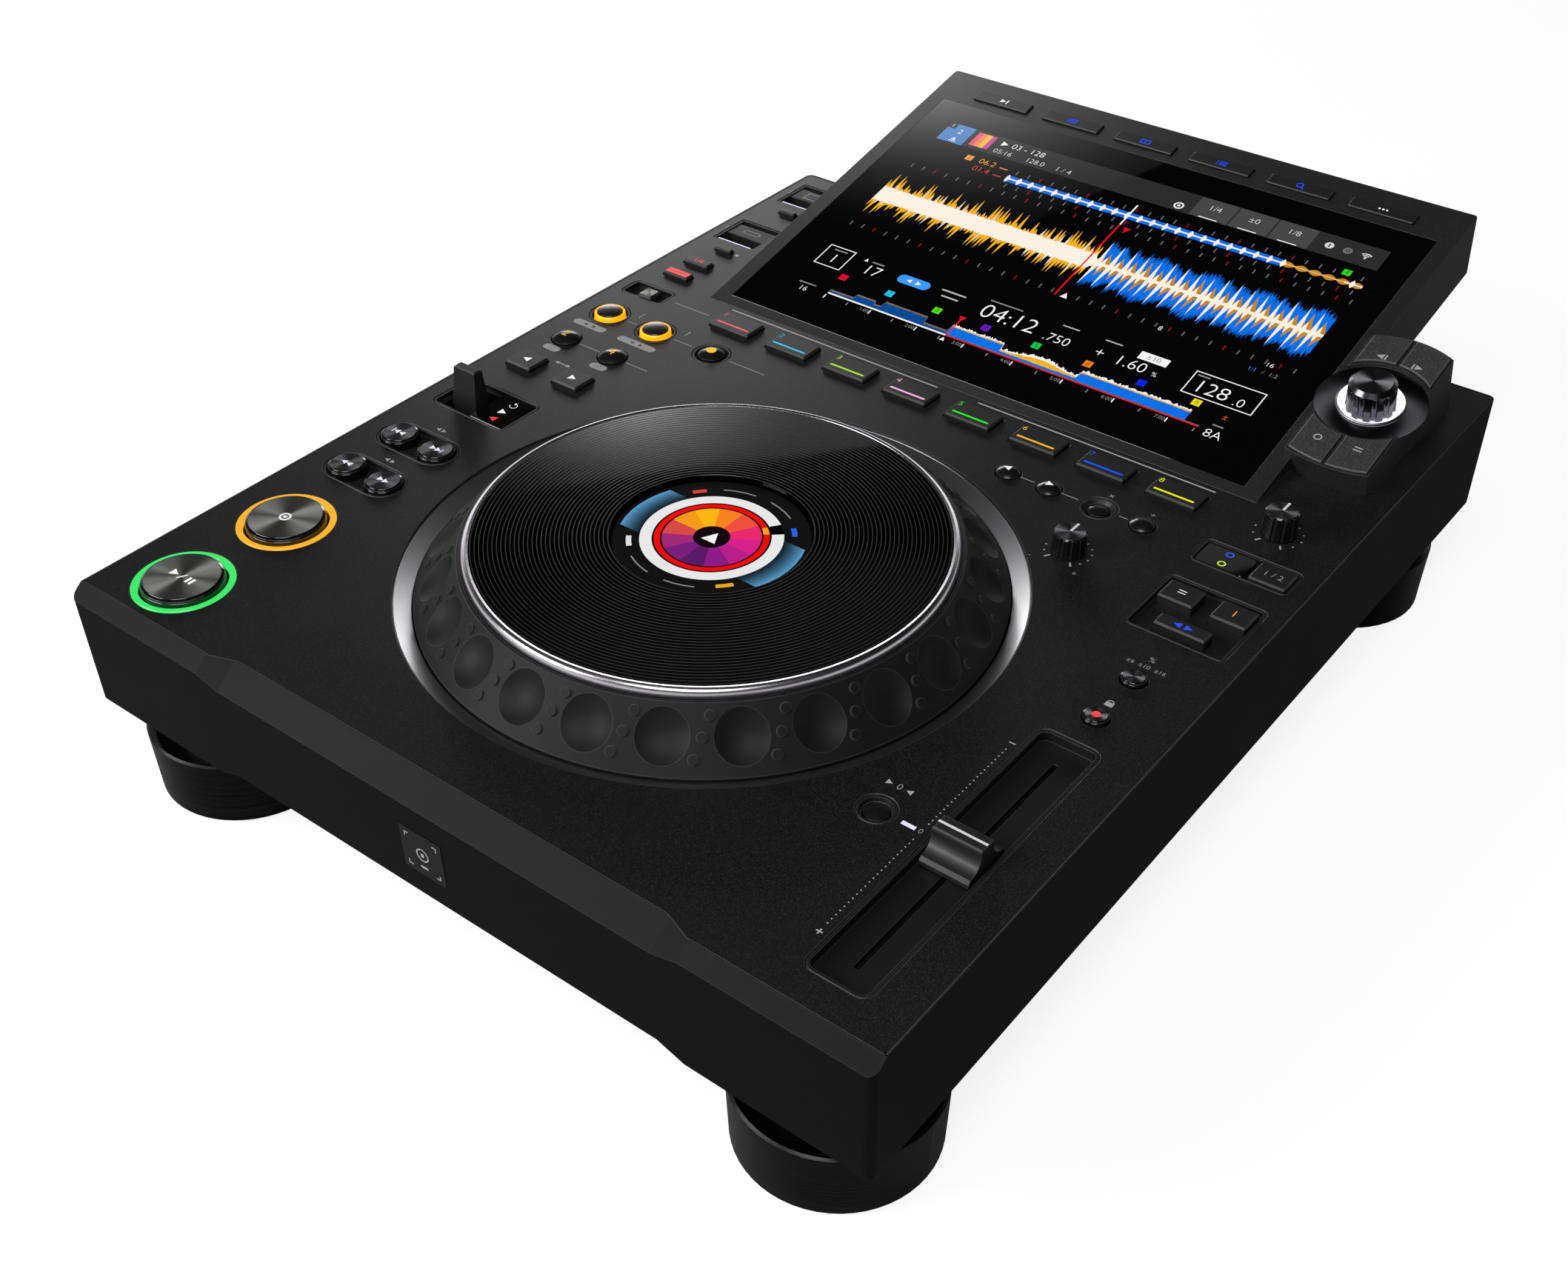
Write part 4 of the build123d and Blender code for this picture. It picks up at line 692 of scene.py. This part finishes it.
# the large wave: a pale core with amber spikes, then blue with amber saw teeth
MAIN_U, MEET = 91.3, 5.0
xs = [LCD_LEFT + 0.4 * i for i in range(int((MEET - LCD_LEFT) / 0.4) + 1)]
core, spikes, pale_spikes = [], [], []
reach = 6.0
for i, x in enumerate(xs):
    along = ((x - MEET) / (BEAT / 2)) % 1
    if i % 4 == 0:
        reach = random.choice((5.5, 7.0, 8.5, 10.5, 13.0, 15.5))
    saw = (1.0, 0.75, 0.45, 0.2)[i % 4]
    core.append(4.4 + 1.2 * random.random())
    spikes.append(4.6 + (reach - 4.6) * saw)
    pale_spikes.append(4.0 + (9.5 * max(0.0, 0.85 - along * 3) if random.random() > 0.55 else 1.0))
core[-5:], spikes[-5:], pale_spikes[-5:] = [4.2, 3.2, 2.4, 1.6, 1.0], [3.0] * 5, [2.0] * 5
lcd += wave(xs, MAIN_U, ((spikes, WAVE_ORANGE), (pale_spikes, "e8e4de"), (core, WAVE_CREAM)), 0.92)
xs = [MEET + 0.35 * i for i in range(int((LCD_RIGHT - MEET) / 0.35) + 1)]
blue, gold, cream = [], [], []
for i, x in enumerate(xs):
    along = ((x - MEET) / BEAT) % 1
    half_beat = ((x - MEET) / (BEAT / 2)) % 1
    swell = 15.8 - 6.0 * abs(math.sin((x - MEET) / (4 * BEAT) * math.pi)) * along
    blue.append(swell * (random.uniform(0.62, 0.9) if i % 2 else random.uniform(0.85, 1.05)))
    gold.append((9.5 if int((x - MEET) / BEAT) % 4 == 3 else 7.4) * (1 - half_beat) ** 1.2 + 1.2)
    cream.append(13.5 * max(0.0, 1 - along * 3.2) + 0.9 + 4.5 * max(0.0, 1 - abs(along - 0.5) * 7))
lcd += wave(xs, MAIN_U, ((blue, WAVE_BLUE), (gold, WAVE_EDGE), (cream, WAVE_CREAM)))
lcd += box(0.6, 66.5, 1.3, 117, RED, 3)
lcd += arrow(5, 115.2, 2.9, RED, 3, -90) + arrow(5, 67.8, 2.9, WHITE, 3, 90)
for i in range(36):
    x = -101 + BEAT * i
    if x < LCD_RIGHT and abs(x - 1) > 1.5:
        for u in (114.5, 68.6):
            lcd += bar(x, u, 0.45, 2.6, "a01020" if i % 4 == 2 else "707070")
lcd += figures("8", 48.2, 67.4, 2.6, WHITE) + figures("16", 94.8, 67.4, 2.6, WHITE)
lcd += figures("1:1", 90, 62.6, 2.2, "3c8ce0") + figures("/", 94.4, 62.6, 2.2, GREY)
lcd += figures("1:2", 98.6, 62.6, 2.2, GREY)

# figures under the wave
lcd += frame_line(-99.8, 39.2, -86.6, 52.4, 0.45, WHITE) + figures("1", -93.2, 44.6, 5.8, WHITE)
lcd += bar(-93.2, 50.2, 6.5, 0.7, GREY)
lcd += label("17", -78, 45, 6.2, WHITE) + arrow(-79.9, 50.3, 1.7, WHITE, 0, 90)
lcd += bar(-74, 50.2, 6.0, 0.7, GREY)
lcd += pill(-54, 47, 15.4, 5.2, "3c9cff") + arrow(-56.3, 47, 2.2, WHITE, 1, 180)
lcd += arrow(-51.7, 47, 2.2, WHITE, 1)
lcd += bar(-35.3, 48.6, 11.5, 0.8, "b8b8b8") + bar(-35.3, 45.2, 8.0, 0.8, "b8b8b8")
lcd += label("04:12", -20, 45, 8.6, WHITE) + label(".750", 10.3, 43.2, 5.0, WHITE)
lcd += bar(-12, 51.8, 15, 0.6, GREY) + bar(17.8, 51.8, 7.5, 0.6, "b8b8b8")
lcd += figures("+", 35, 44, 5.6, WHITE) + label("1.60", 42, 43.7, 5.8, WHITE)
lcd += figures("%", 59.6, 42.6, 2.6, WHITE)
lcd += bar(37, 51.8, 7.5, 0.6, "b8b8b8") + box(49, 48.2, 61.4, 52.6, WHITE)
lcd += figures("±10", 55.2, 50.4, 2.8, "141414", 1)
lcd += frame_line(72.6, 39.2, 101.8, 52.4, 0.45, WHITE) + label("128", 75.4, 44.6, 7.2, WHITE)
lcd += label(".0", 92.4, 43.2, 4.8, WHITE) + bar(76.7, 50.4, 5.0, 0.7, GREY)
CUE_X = -82.0
CUE_CODES = ["d81030", "20c8e8", "50e010", "6a18c8", "10c848", "f07c14", "1820e8", "f0e020"]
for i, code in enumerate(CUE_CODES):
    x = CUE_X + 23.3 * i
    lcd += bar(x, 36.4, 3.5, 3.5, code) + figures(str(i + 1), x, 36.4, 2.3, "101010", 1)

# the whole track at the foot
xs = [-82 + 0.6 * i for i in range(274)]
base, mid, top = [], [], []
for i, x in enumerate(xs):
    share = (x + 82) / 164
    level = (0.7 if share < 0.07 else 3.1 if share < 0.13 else 1.2 if share < 0.15 else 4.6 if share < 0.28
             else 1.0 if share < 0.35 else 4.7 if share < 0.5 else 1.0 if share < 0.71 else 4.6)
    glow = 2.4 * math.exp(-((share - 0.61) / 0.06) ** 2)
    base.append(level + 0.3 * random.random())
    mid.append(level + 0.6 + glow + 0.4 * random.random())
    top.append(level + 1.0 + glow * 1.3 + 1.4 * random.random() * (share > 0.35))
ends = [25.9] * len(xs)
CUT = 97
for part, (low, middle, high) in ((slice(0, CUT), ("044a96", "7a6240", "8c8c8c")),
                                  (slice(CUT - 1, None), (WAVE_BLUE, WAVE_ORANGE, WHITE))):
    for heights, code, level in ((top, high, 0), (mid, middle, 1), (base, low, 2)):
        lcd += band(xs[part], [25.9 + h for h in heights[part]], ends[part], code, level)
lcd += box(-82, 24.9, -24, 25.7, WHITE) + box(-24, 24.9, 88, 25.5, RED) + box(-24.0, 25.5, 88, 25.9, "606060")
lcd += box(-24, 25, -23.4, 36, RED, 3) + arrow(-23.7, 36.4, 2.9, RED, 3, -90)
lcd += arrow(-23.7, 22.9, 2.0, WHITE, 3, 90)
for i in range(8):
    lcd += bar(-82 + 22.55 * i, 22.9, 0.5, 2.3, WHITE) + bar(-70.7 + 22.55 * i, 22.9, 0.4, 1.8, GREY)
    if i:
        lcd += figures(f"{i}:00", -84.8 + 22.55 * i, 22.9, 1.9, GREY)
lcd += figures("16", -93.2, 23, 3.0, WHITE) + bar(-93.2, 26.4, 8.5, 0.6, GREY)
lcd += figures("±", 94.2, 34, 3.0, "e0582c") + bar(94.2, 28.6, 4.4, 0.6, GREY)
lcd += figures("8A", 94.6, 23.6, 4.6, WHITE)
marks("screen_picture", lcd, FACE, picture, "root")

# satin ABS keys with lit signs
KEY_U = 171.7
coat(grained("satin_key_abs", "1d1d1e", "242425", 0.42, 0.25, 0.01, level=0.45), "screen_keys", "left_keys",
     "sync_keys", "beat_jump_keys", "power_key", *[f"cue_pad_{i + 1}" for i in range(8)])
SIGN_BLUE = "2850f0"
signs = []
for i, x in enumerate((-90.5, -54.3, -18.1, 18.1, 54.3, 90.5)):
    code = WHITE if i in (0, 5) else SIGN_BLUE
    if i == 0:
        signs += arrow(x, KEY_U, 2.4, code) + box(x + 1.8, KEY_U - 1.4, x + 2.4, KEY_U + 1.4, code)
    elif i == 1:
        for step in (-1.1, 0, 1.1):
            signs += bar(x, KEY_U + step, 4.6, 0.5, code)
    elif i == 2:
        signs += frame_line(x - 2.3, KEY_U - 1.5, x + 2.3, KEY_U + 1.5, 0.5, code)
        signs += ring(x, KEY_U, 0.5, 0, code, steps=12)
    elif i == 3:
        for step in (-1.1, 0, 1.1):
            signs += bar(x + 0.8, KEY_U + step, 3.4, 0.5, code) + bar(x - 2.0, KEY_U + step, 0.6, 0.5, code)
    elif i == 4:
        signs += ring(x - 0.4, KEY_U + 0.3, 1.6, 1.1, code, steps=24)
        signs += shape([(x + 0.5, KEY_U - 1.0), (x + 0.9, KEY_U - 0.6), (x + 2.2, KEY_U - 1.6),
                        (x + 1.8, KEY_U - 2.0)], code)
    else:
        for step in (-1.6, 0, 1.6):
            signs += ring(x + step, KEY_U, 0.5, 0, code, steps=12)
marks("screen_key_signs", signs, FACE, lit_ink, "screen_keys", lift=1.03)


# ==== Selector ====
# A push-and-turn knob on a round, spun black dish, with a white light ring under it and four keys round the
# dish.
DIAL_X, DIAL_U = 137.0, 63.5
DIAL = at(DIAL_X, DIAL_U, 0, FACE)
# black spun metal under clear lacquer
spun_black = spun("spun_black_metal", "7c7c80", 0.32)
# the same in a deeper black, for the dish
deep_black = spun("deep_black_spun_metal", "4c4c50", 0.3)
# bare spun aluminium
spun_alloy = spun("spun_aluminium", "a8a8a4", 0.36)
# moulded black gloss, as the knobs and the keys' sides
piano = grained("piano_black_abs", "0c0c0d", "0f0f10", 0.12, 2.0, 0.002, level=0.5, edge=0.2)
coat(piano, "feel_knob", "speed_knob")
# black nickel: a dark mirror that shows the flutes as light and dark stripes
coat(spun("black_nickel", "5c5c60", 0.2, 0.0), "selector_knob")
coat(grained("ground_steel", "88888c", "9a9a9e", 0.25, 0.4, 0.002), "selector_shaft")
# textured key moulding, with a light grey painted highlight along the keys' edges
coat(grained("textured_key_abs", "303031", "5c5c5d", 0.5, 0.5, 0.06, level=0.45, edge=0.35, edge_highlight="78787a"),
     "pod_keys")
# clear ring lit from behind by white lamps
lit_ring, tree, shader = surface("frosted_light_ring", "ffffff", 0.3)
feed(tree, shader, {"Emission Strength": span(tree, noise(tree, 500.0), 0.85)})
shader.inputs["Emission Color"].default_value = colour("f2f0ff")
coat(lit_ring, "selector_light_ring")
# fine moulded steps on the slope of the bowl-shaped ring, drawn as dimmer lines of light: painted shade at each
# step
for i, (radius, rise) in enumerate(((10.5, 0.4), (11.2, 1.3))):
    marks(f"selector_ring_line_{i + 1}", ring(0, 0, radius + 0.1, radius - 0.1, "b0b0c4", steps=96),
          at(DIAL_X, DIAL_U, rise, FACE), lit_ink, "root", lift=0.1)

lathe("selector_dish", [(12.65, 2.03), (12.9, 2.06), (20.1, 2.06), (20.3, 2.0), (20.3, 1.9)], DIAL, deep_black,
      "root")
lathe("selector_bezel_crown", [(11.95, 2.6), (11.95, 2.93), (12.3, 2.95), (12.62, 2.66), (12.65, 2.1)], DIAL,
      spun_black, "root")
lathe("selector_crown", [(7.0, 12.6), (7.0, 12.72), (0.0, 12.74)], DIAL, spun_black, "selector_knob")
pod_signs = []
for x, u, turn in ((129.5, 86.5, 180), (144.5, 86.5, 0)):
    pod_signs += arrow(x, u, 2.6, PALE, 0, turn)
    pod_signs += bar(x - 2.2 * math.cos(math.radians(turn)), u, 0.6, 2.8, PALE)
pod_signs += ring(129.5, 36.5, 1.6, 1.1, PALE, steps=24) + bar(144.5, 36.5, 3.2, 0.6, PALE)
pod_signs += bar(144.5, 38.0, 3.2, 0.6, PALE)
marks("pod_key_signs", pod_signs, FACE, print_ink, "pod_keys", lift=4.03)


# ==== Tempo slider ====
# Moulded cap with a high ridge and a white line, on the flat stem of a slide control under a sunk tray.
coat(grained("satin_slider_abs", "1f1f20", "29292a", 0.38, 0.3, 0.01, level=0.5), "tempo_slider")
coat(grained("folded_steel_can", "5a5a5e", "6e6e72", 0.35, 1.0, 0.005), "fader_unit")
marks("slider_line", bar(SLIDER_X, ZERO_Y, 16.4, 0.9, "f0f0f0"), DECK, print_ink, "tempo_slider",
      lift=7.83)


# ==== Play, cue and search keys ====
# Spun metal caps on black bodies. The two large ones stand in rings lit from behind; the four small ones sit
# in pairs in sunk recesses.
def cap(name, x, y, radius, top, edge, face, body):
    """Round key cap: a gloss black side, a black-chromed bevel, and a spun face."""
    side = [(0.0, -6.5), (radius, -6.5), (radius, top - edge), (radius - 0.25 * edge, top - 0.4 * edge),
            (radius - edge, top), (radius - edge - 0.15, top)]
    place = at(x, y)
    made = lathe(name, side, place, piano, body, 96)
    lathe(name + "_bevel", [(radius, top - edge - 0.3), (radius + 0.02, top - edge),
                            (radius - edge, top + 0.02), (radius - edge - 0.4, top)], place, black_chrome, body,
          96)
    lathe(name + "_face", [(radius - edge - 0.1, top - 0.3), (radius - edge - 0.12, top + 0.02),
                           (0.0, top + 0.04)], place, face, body, 96)
    return made


# black chrome: dark, with sharp white glints
black_chrome = spun("black_chrome", "66666a", 0.14, 0.3)
PLAY, CUE = (-137.1, 20.8), (-137.1, 65.1)
for name, (x, y) in (("play", PLAY), ("cue", CUE)):
    made = cap(name + "_cap", x, y, 14.0, 2.1, 1.2, spun_alloy, name + "_key")
    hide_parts(name + "_key")
for i, (x, y) in enumerate([(-147.0, 102.2), (-127.9, 102.2), (-147.2, 128.3), (-128.1, 128.3)]):
    made = cap(f"search_cap_{i + 1}", x, y, 7.0, 1.6, 0.9, spun_black, "search_keys")
    if i == 0:
        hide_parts("search_keys")
    way = 180 if i % 2 == 0 else 0
    side = -1 if way else 1
    pair = arrow(-1.25, 0, 2.3, "e8e4f8", 0, way) + arrow(1.25, 0, 2.3, "e8e4f8", 0, way)
    if i > 1:
        pair += bar(side * 2.9, 0, 0.4, 2.5, "e8e4f8")
    marks(f"search_sign_{i + 1}", pair, at(x, y, 1.63), lit_ink, "search_keys")
pause = arrow(-3.6, 0, 3.0, "f4f4f4") + bar(3.2, 0, 1.0, 3.0, "f4f4f4") + bar(5.0, 0, 1.0, 3.0, "f4f4f4")
pause += shape([(-1.3, -1.6), (-0.7, -1.6), (1.3, 1.6), (0.7, 1.6)], "f4f4f4")
marks("play_sign", pause, at(*PLAY, 2.15), lit_ink, "play_key")
marks("cue_sign", ring(0, 0, 2.2, 1.5, "f4f4f4") + ring(0, 0, 0.7, 0, "f4f4f4"), at(*CUE, 2.15), lit_ink,
      "cue_key")

# frosted rings: green for play, amber for cue
ring_light, tree, shader = surface("frosted_ring_lights", "101010", 0.35)
depth = add(tree, "SeparateXYZ", None, {0: local(tree)})
BETWEEN_RINGS = 43.0
which = add(tree, "Math", {"operation": "GREATER_THAN", 1: BETWEEN_RINGS / 1000 - MIDDLE_Y},
            {0: depth.outputs["Y"]})
feed(tree, shader, {"Emission Color": blend(tree, which.outputs[0], "3ce86a", "ffb428")})
shader.inputs["Emission Strength"].default_value = 1.0
coat(ring_light, "light_rings")


# ==== Left keys ====
# Loop keys with amber skirts, domes with lit figures, a small spun square, oblong keys lit red, and the
# beat-jump keys.
AMBER = "ffb010"
# amber diffuser lit from inside
amber, tree, shader = surface("amber_diffuser", "ff9a00", 0.3)
place = add(tree, "SeparateXYZ", None, {0: local(tree)})
feed(tree, shader, {"Emission Strength": span(tree, place.outputs["Z"], 0.75, 1.0, -0.002, 0.0014)})
shader.inputs["Emission Color"].default_value = colour("ffae14")
dome_black = grained("gloss_dome_abs", "141415", "19191a", 0.24, 0.6, 0.004, level=0.5, edge=0.2)
coat(dome_black, "reloop_key", "beat_loop_keys", "dome_keys", "recessed_keys")
for i, x in enumerate((-148.0, -123.5)):
    skirt = lathe(f"loop_skirt_{i + 1}", [(5.3, 0.2), (5.45, 1.1), (5.9, 1.35), (6.3, 0.95), (6.45, -1.0),
                                          (6.7, -2.15), (6.7, -6.0)], at(x, 245.8), amber, "loop_keys",
                  96)
    lathe(f"loop_cap_{i + 1}", [(5.3, -0.5), (5.3, 1.35), (5.0, 1.62), (4.3, 1.72), (2.5, 1.95), (0.0, 2.02)],
          at(x, 245.8), dome_black, "loop_keys", 96)
    if i == 0:
        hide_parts("loop_keys")
marks("reloop_sign", ring(0, 0, 2.0, 0, "ffc000", steps=32), at(-94.2, 245.8, 1.7), lit_ink, "reloop_key")
for x, digit in ((-148.3, "2"), (-123.7, "4")):
    marks("beat_sign_" + digit, figures(digit, 0, 0, 4.2, "ffc21c"), at(x, 220, 2.34), lit_ink,
          "beat_loop_keys")
marks("beat_jump_signs", arrow(-147.5, 196.4, 3.0, WHITE, 0, 180) + arrow(-123.1, 196.4, 3.0, WHITE), DECK,
      lit_ink, "beat_jump_keys", lift=1.73)
marks("square_key_plate", bar(0, 0, 5.6, 5.6, PALE), at(-146.8, 268.9, 0.55), spun_alloy, "left_keys")
left_signs = box(-152.9, 286.7, -141.9, 290.3, "ff3c3c") + bar(-147.4, 288.5, 5.6, 0.5, "7a1414", 1)
left_signs += figures("1/4", -147.4, 301.9, 2.8, "ff3c3c")
marks("left_key_signs", left_signs, DECK, lit_ink, "left_keys", lift=1.63)


# ==== Cue pads ====
# Eight low keys, each with its figure and a coloured light line.
PAD_PITCH = 28.6
PAD_CODES = ["f04858", "18b8e0", "a8e010", "f8b0e0", "18e818", "f0b420", "1850f8", "e0e818"]
for i, code in enumerate(PAD_CODES):
    x = 0.1 + (i - 3.5) * PAD_PITCH
    marks(f"pad_sign_{i + 1}", figures(str(i + 1), -7.9, 3.2, 2.9, code) + pill(0, -2.7, 16, 1.0, code),
          at(x, 269.0), lit_ink, f"cue_pad_{i + 1}", lift=1.63)
marks("dome_signs", arrow(44.4, 245.2, 2.6, WHITE, 0, 180) + arrow(62.2, 245.2, 2.6, WHITE), DECK, lit_ink,
      "dome_keys", lift=2.0)


# ==== Deck knobs ====
# Fluted black knobs with spun crowns and a white line.
for name, (x, y), top in (("feel_knob", (87.35, 216.3), 8.1), ("speed_knob", (139.45, 269.2), 9.7)):
    lathe(name + "_crown", [(5.2, top - 0.1), (5.2, top + 0.02), (0.0, top + 0.04)], at(x, y), spun_black, name,
          96)
    marks(name + "_line", bar(0, 2.9, 0.9, 5.2, "f0f0f0"), at(x, y, top + 0.05), print_ink, name)


# ==== Right keys ====
# Sync and mode keys with lit signs, two small spun caps, and two gloss windows over the lit modes.
sync_signs = figures("=", 130.3, 216.7, 4.6, WHITE) + figures("1", 149.4, 216.7, 3.6, AMBER)
sync_signs += arrow(137.4, 200.6, 2.6, SIGN_BLUE, 0, 180) + arrow(141.4, 200.6, 2.6, SIGN_BLUE)
marks("sync_key_signs", sync_signs, DECK, lit_ink, "sync_keys", lift=1.63)
marks("mode_key_sign", figures("1 / 2", 149.6, 244.3, 2.9, PALE), DECK, print_ink, "sync_keys",
      lift=1.03)
for i, y in enumerate((169.0, 146.0)):
    made = cap(f"tempo_cap_{i + 1}", 139.3, y, 4.2, 1.4, 0.6, spun_black, "tempo_keys")
    if i == 0:
        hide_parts("tempo_keys")
marks("tempo_light", ring(0, 0, 1.4, 0, "ff4a4a", steps=24), at(139.3, 146.0, 1.44), lit_ink, "tempo_keys")
coat(gloss, "display_windows")
window_signs = figures("↺", -129.0, 169.3, 3.4, WHITE) + arrow(-129.2, 164, 3.0, WHITE)
window_signs += arrow(-129.2, 158.6, 3.0, "e84040", 0, 180)
window_signs += ring(131.9, 248.2, 1.5, 1.0, SIGN_BLUE, steps=24)
window_signs += ring(131.9, 242.0, 1.5, 1.0, "c8f018", steps=24)
marks("window_signs", window_signs, DECK, picture, "root", lift=-0.37)


# ==== Direction lever ====
# Tall moulded blade that tips to three places on a pin under the deck.
coat(grained("satin_lever_abs", "191919", "1f1f1f", 0.4, 0.3, 0.01, level=0.4), "direction_lever")


# ==== USB wells ====
# Sunk moulded wells with a hood over a metal socket, and a white light line along their front edge.
coat(grained("usb_well_abs", "161616", "1c1c1c", 0.5, 0.35, 0.015, level=0.4), "usb_wells")
coat(grained("nickel_plated_shell", "8e8e90", "a2a2a4", 0.25, 0.4, 0.003), "usb_sockets")
usb_lights, usb_icons = [], []
for y in (336.5, 382.0):
    usb_lights += bar(-148.0, y - 9.5, 17.5, 0.7, "d8d4f0")
    if y < 350:
        usb_icons += pill(-148.0, y + 2.7, 9.0, 3.2, GREY) + pill(-148.0, y + 2.7, 7.8, 2.0, "161616", 1)
    else:
        usb_icons += frame_line(-152.5, y - 0.3, -143.0, y + 5.4, 0.6, GREY)
marks("usb_lights", usb_lights, DECK, lit_ink, "root", lift=-0.15)
marks("usb_icons", usb_icons, DECK, print_ink, "root", lift=-0.47)


# ==== Badge ====
# Square gloss tile let into the front wall; it carries a plain ring and four corner ticks.
coat(gloss, "front_badge")
BADGE = at(JOG_X, -4.83, -25.2) @ Matrix.Rotation(math.radians(91.34), 4, "X")
ticks = ring(0, 0, 2.6, 2.1, PALE, steps=32) + ring(0, 0, 0.8, 0, PALE, steps=16)
ticks += pill(0, -5.2, 3.2, 0.9, PALE)
for sx in (-1, 1):
    for sy in (-1, 1):
        ticks += bar(sx * 5.9, sy * 6.6, 1.8, 0.4, PALE) + bar(sx * 6.6, sy * 5.7, 0.4, 1.4, PALE)
marks("badge_marks", ticks, BADGE, print_ink, "root")


# ==== Back and inside ====
# Sockets and mains inlet through the back wall; a mains supply and a main board on the bottom plate.
coat(grained("socket_metal", "9a9a9c", "b0b0b2", 0.3, 0.5, 0.004), "rear_sockets")
coat(grained("inlet_nylon", "0f0f0f", "151515", 0.5, 0.4, 0.01), "mains_inlet")
coat(grained("solder_mask_green", "0e3a22", "14502e", 0.4, 1.2, 0.02), "main_board")
coat(grained("supply_steel", "8c8c90", "9c9ca0", 0.4, 0.8, 0.006), "power_supply")


# ==== What the cards and the floor's glow reach ====
# The floor's white glow is for metal and glass; the matt black mouldings are lit by the lamps alone. Each
# card is mirrored only by the pieces named beside it.
SPUN_ENDS = ("_face", "_bevel", "_crown", "_dish", "_plate")
spun_faces = [piece.name for piece in bpy.data.objects if piece.name.endswith(SPUN_ENDS)]
for emitter, pieces, state in (
        (floor, ("main_case", "bottom_plate", "top_panel", "control_frame", "screen_housing", "selector_pod",
                 "front_badge", "feet", "direction_lever"), "EXCLUDE"),
        (front_box, ("jog_touch_disc",), "EXCLUDE"),
        (screen_card, ("screen_glass", "screen_picture", "screen_housing", "screen_keys", "pod_keys"),
         "INCLUDE"),
        (disc_card, ("jog_touch_disc", "jog_picture", "jog_display"), "INCLUDE"),
        (rim_card, ("jog_touch_disc", "jog_picture", "jog_display"), "INCLUDE"),
        (right_card, ("jog_touch_disc",), "INCLUDE"),
        (window_card, ("display_windows", "window_signs"), "INCLUDE"),
        (metal_card, spun_faces + ["selector_knob", "feel_knob", "speed_knob"], "INCLUDE"),
        (strip_card, ("well_funnel", "jog_trim_ring", "jog_wheel"), "INCLUDE")):
    reached = bpy.data.collections.new(emitter.name + "_reach")
    for name in pieces:
        reached.objects.link(frame["nodes"][name] if name in frame["nodes"] else bpy.data.objects[name])
    for entry in reached.collection_objects:
        entry.light_linking.link_state = state
    emitter.light_linking.receiver_collection = reached

bpy.context.scene.view_settings.view_transform = "Standard"
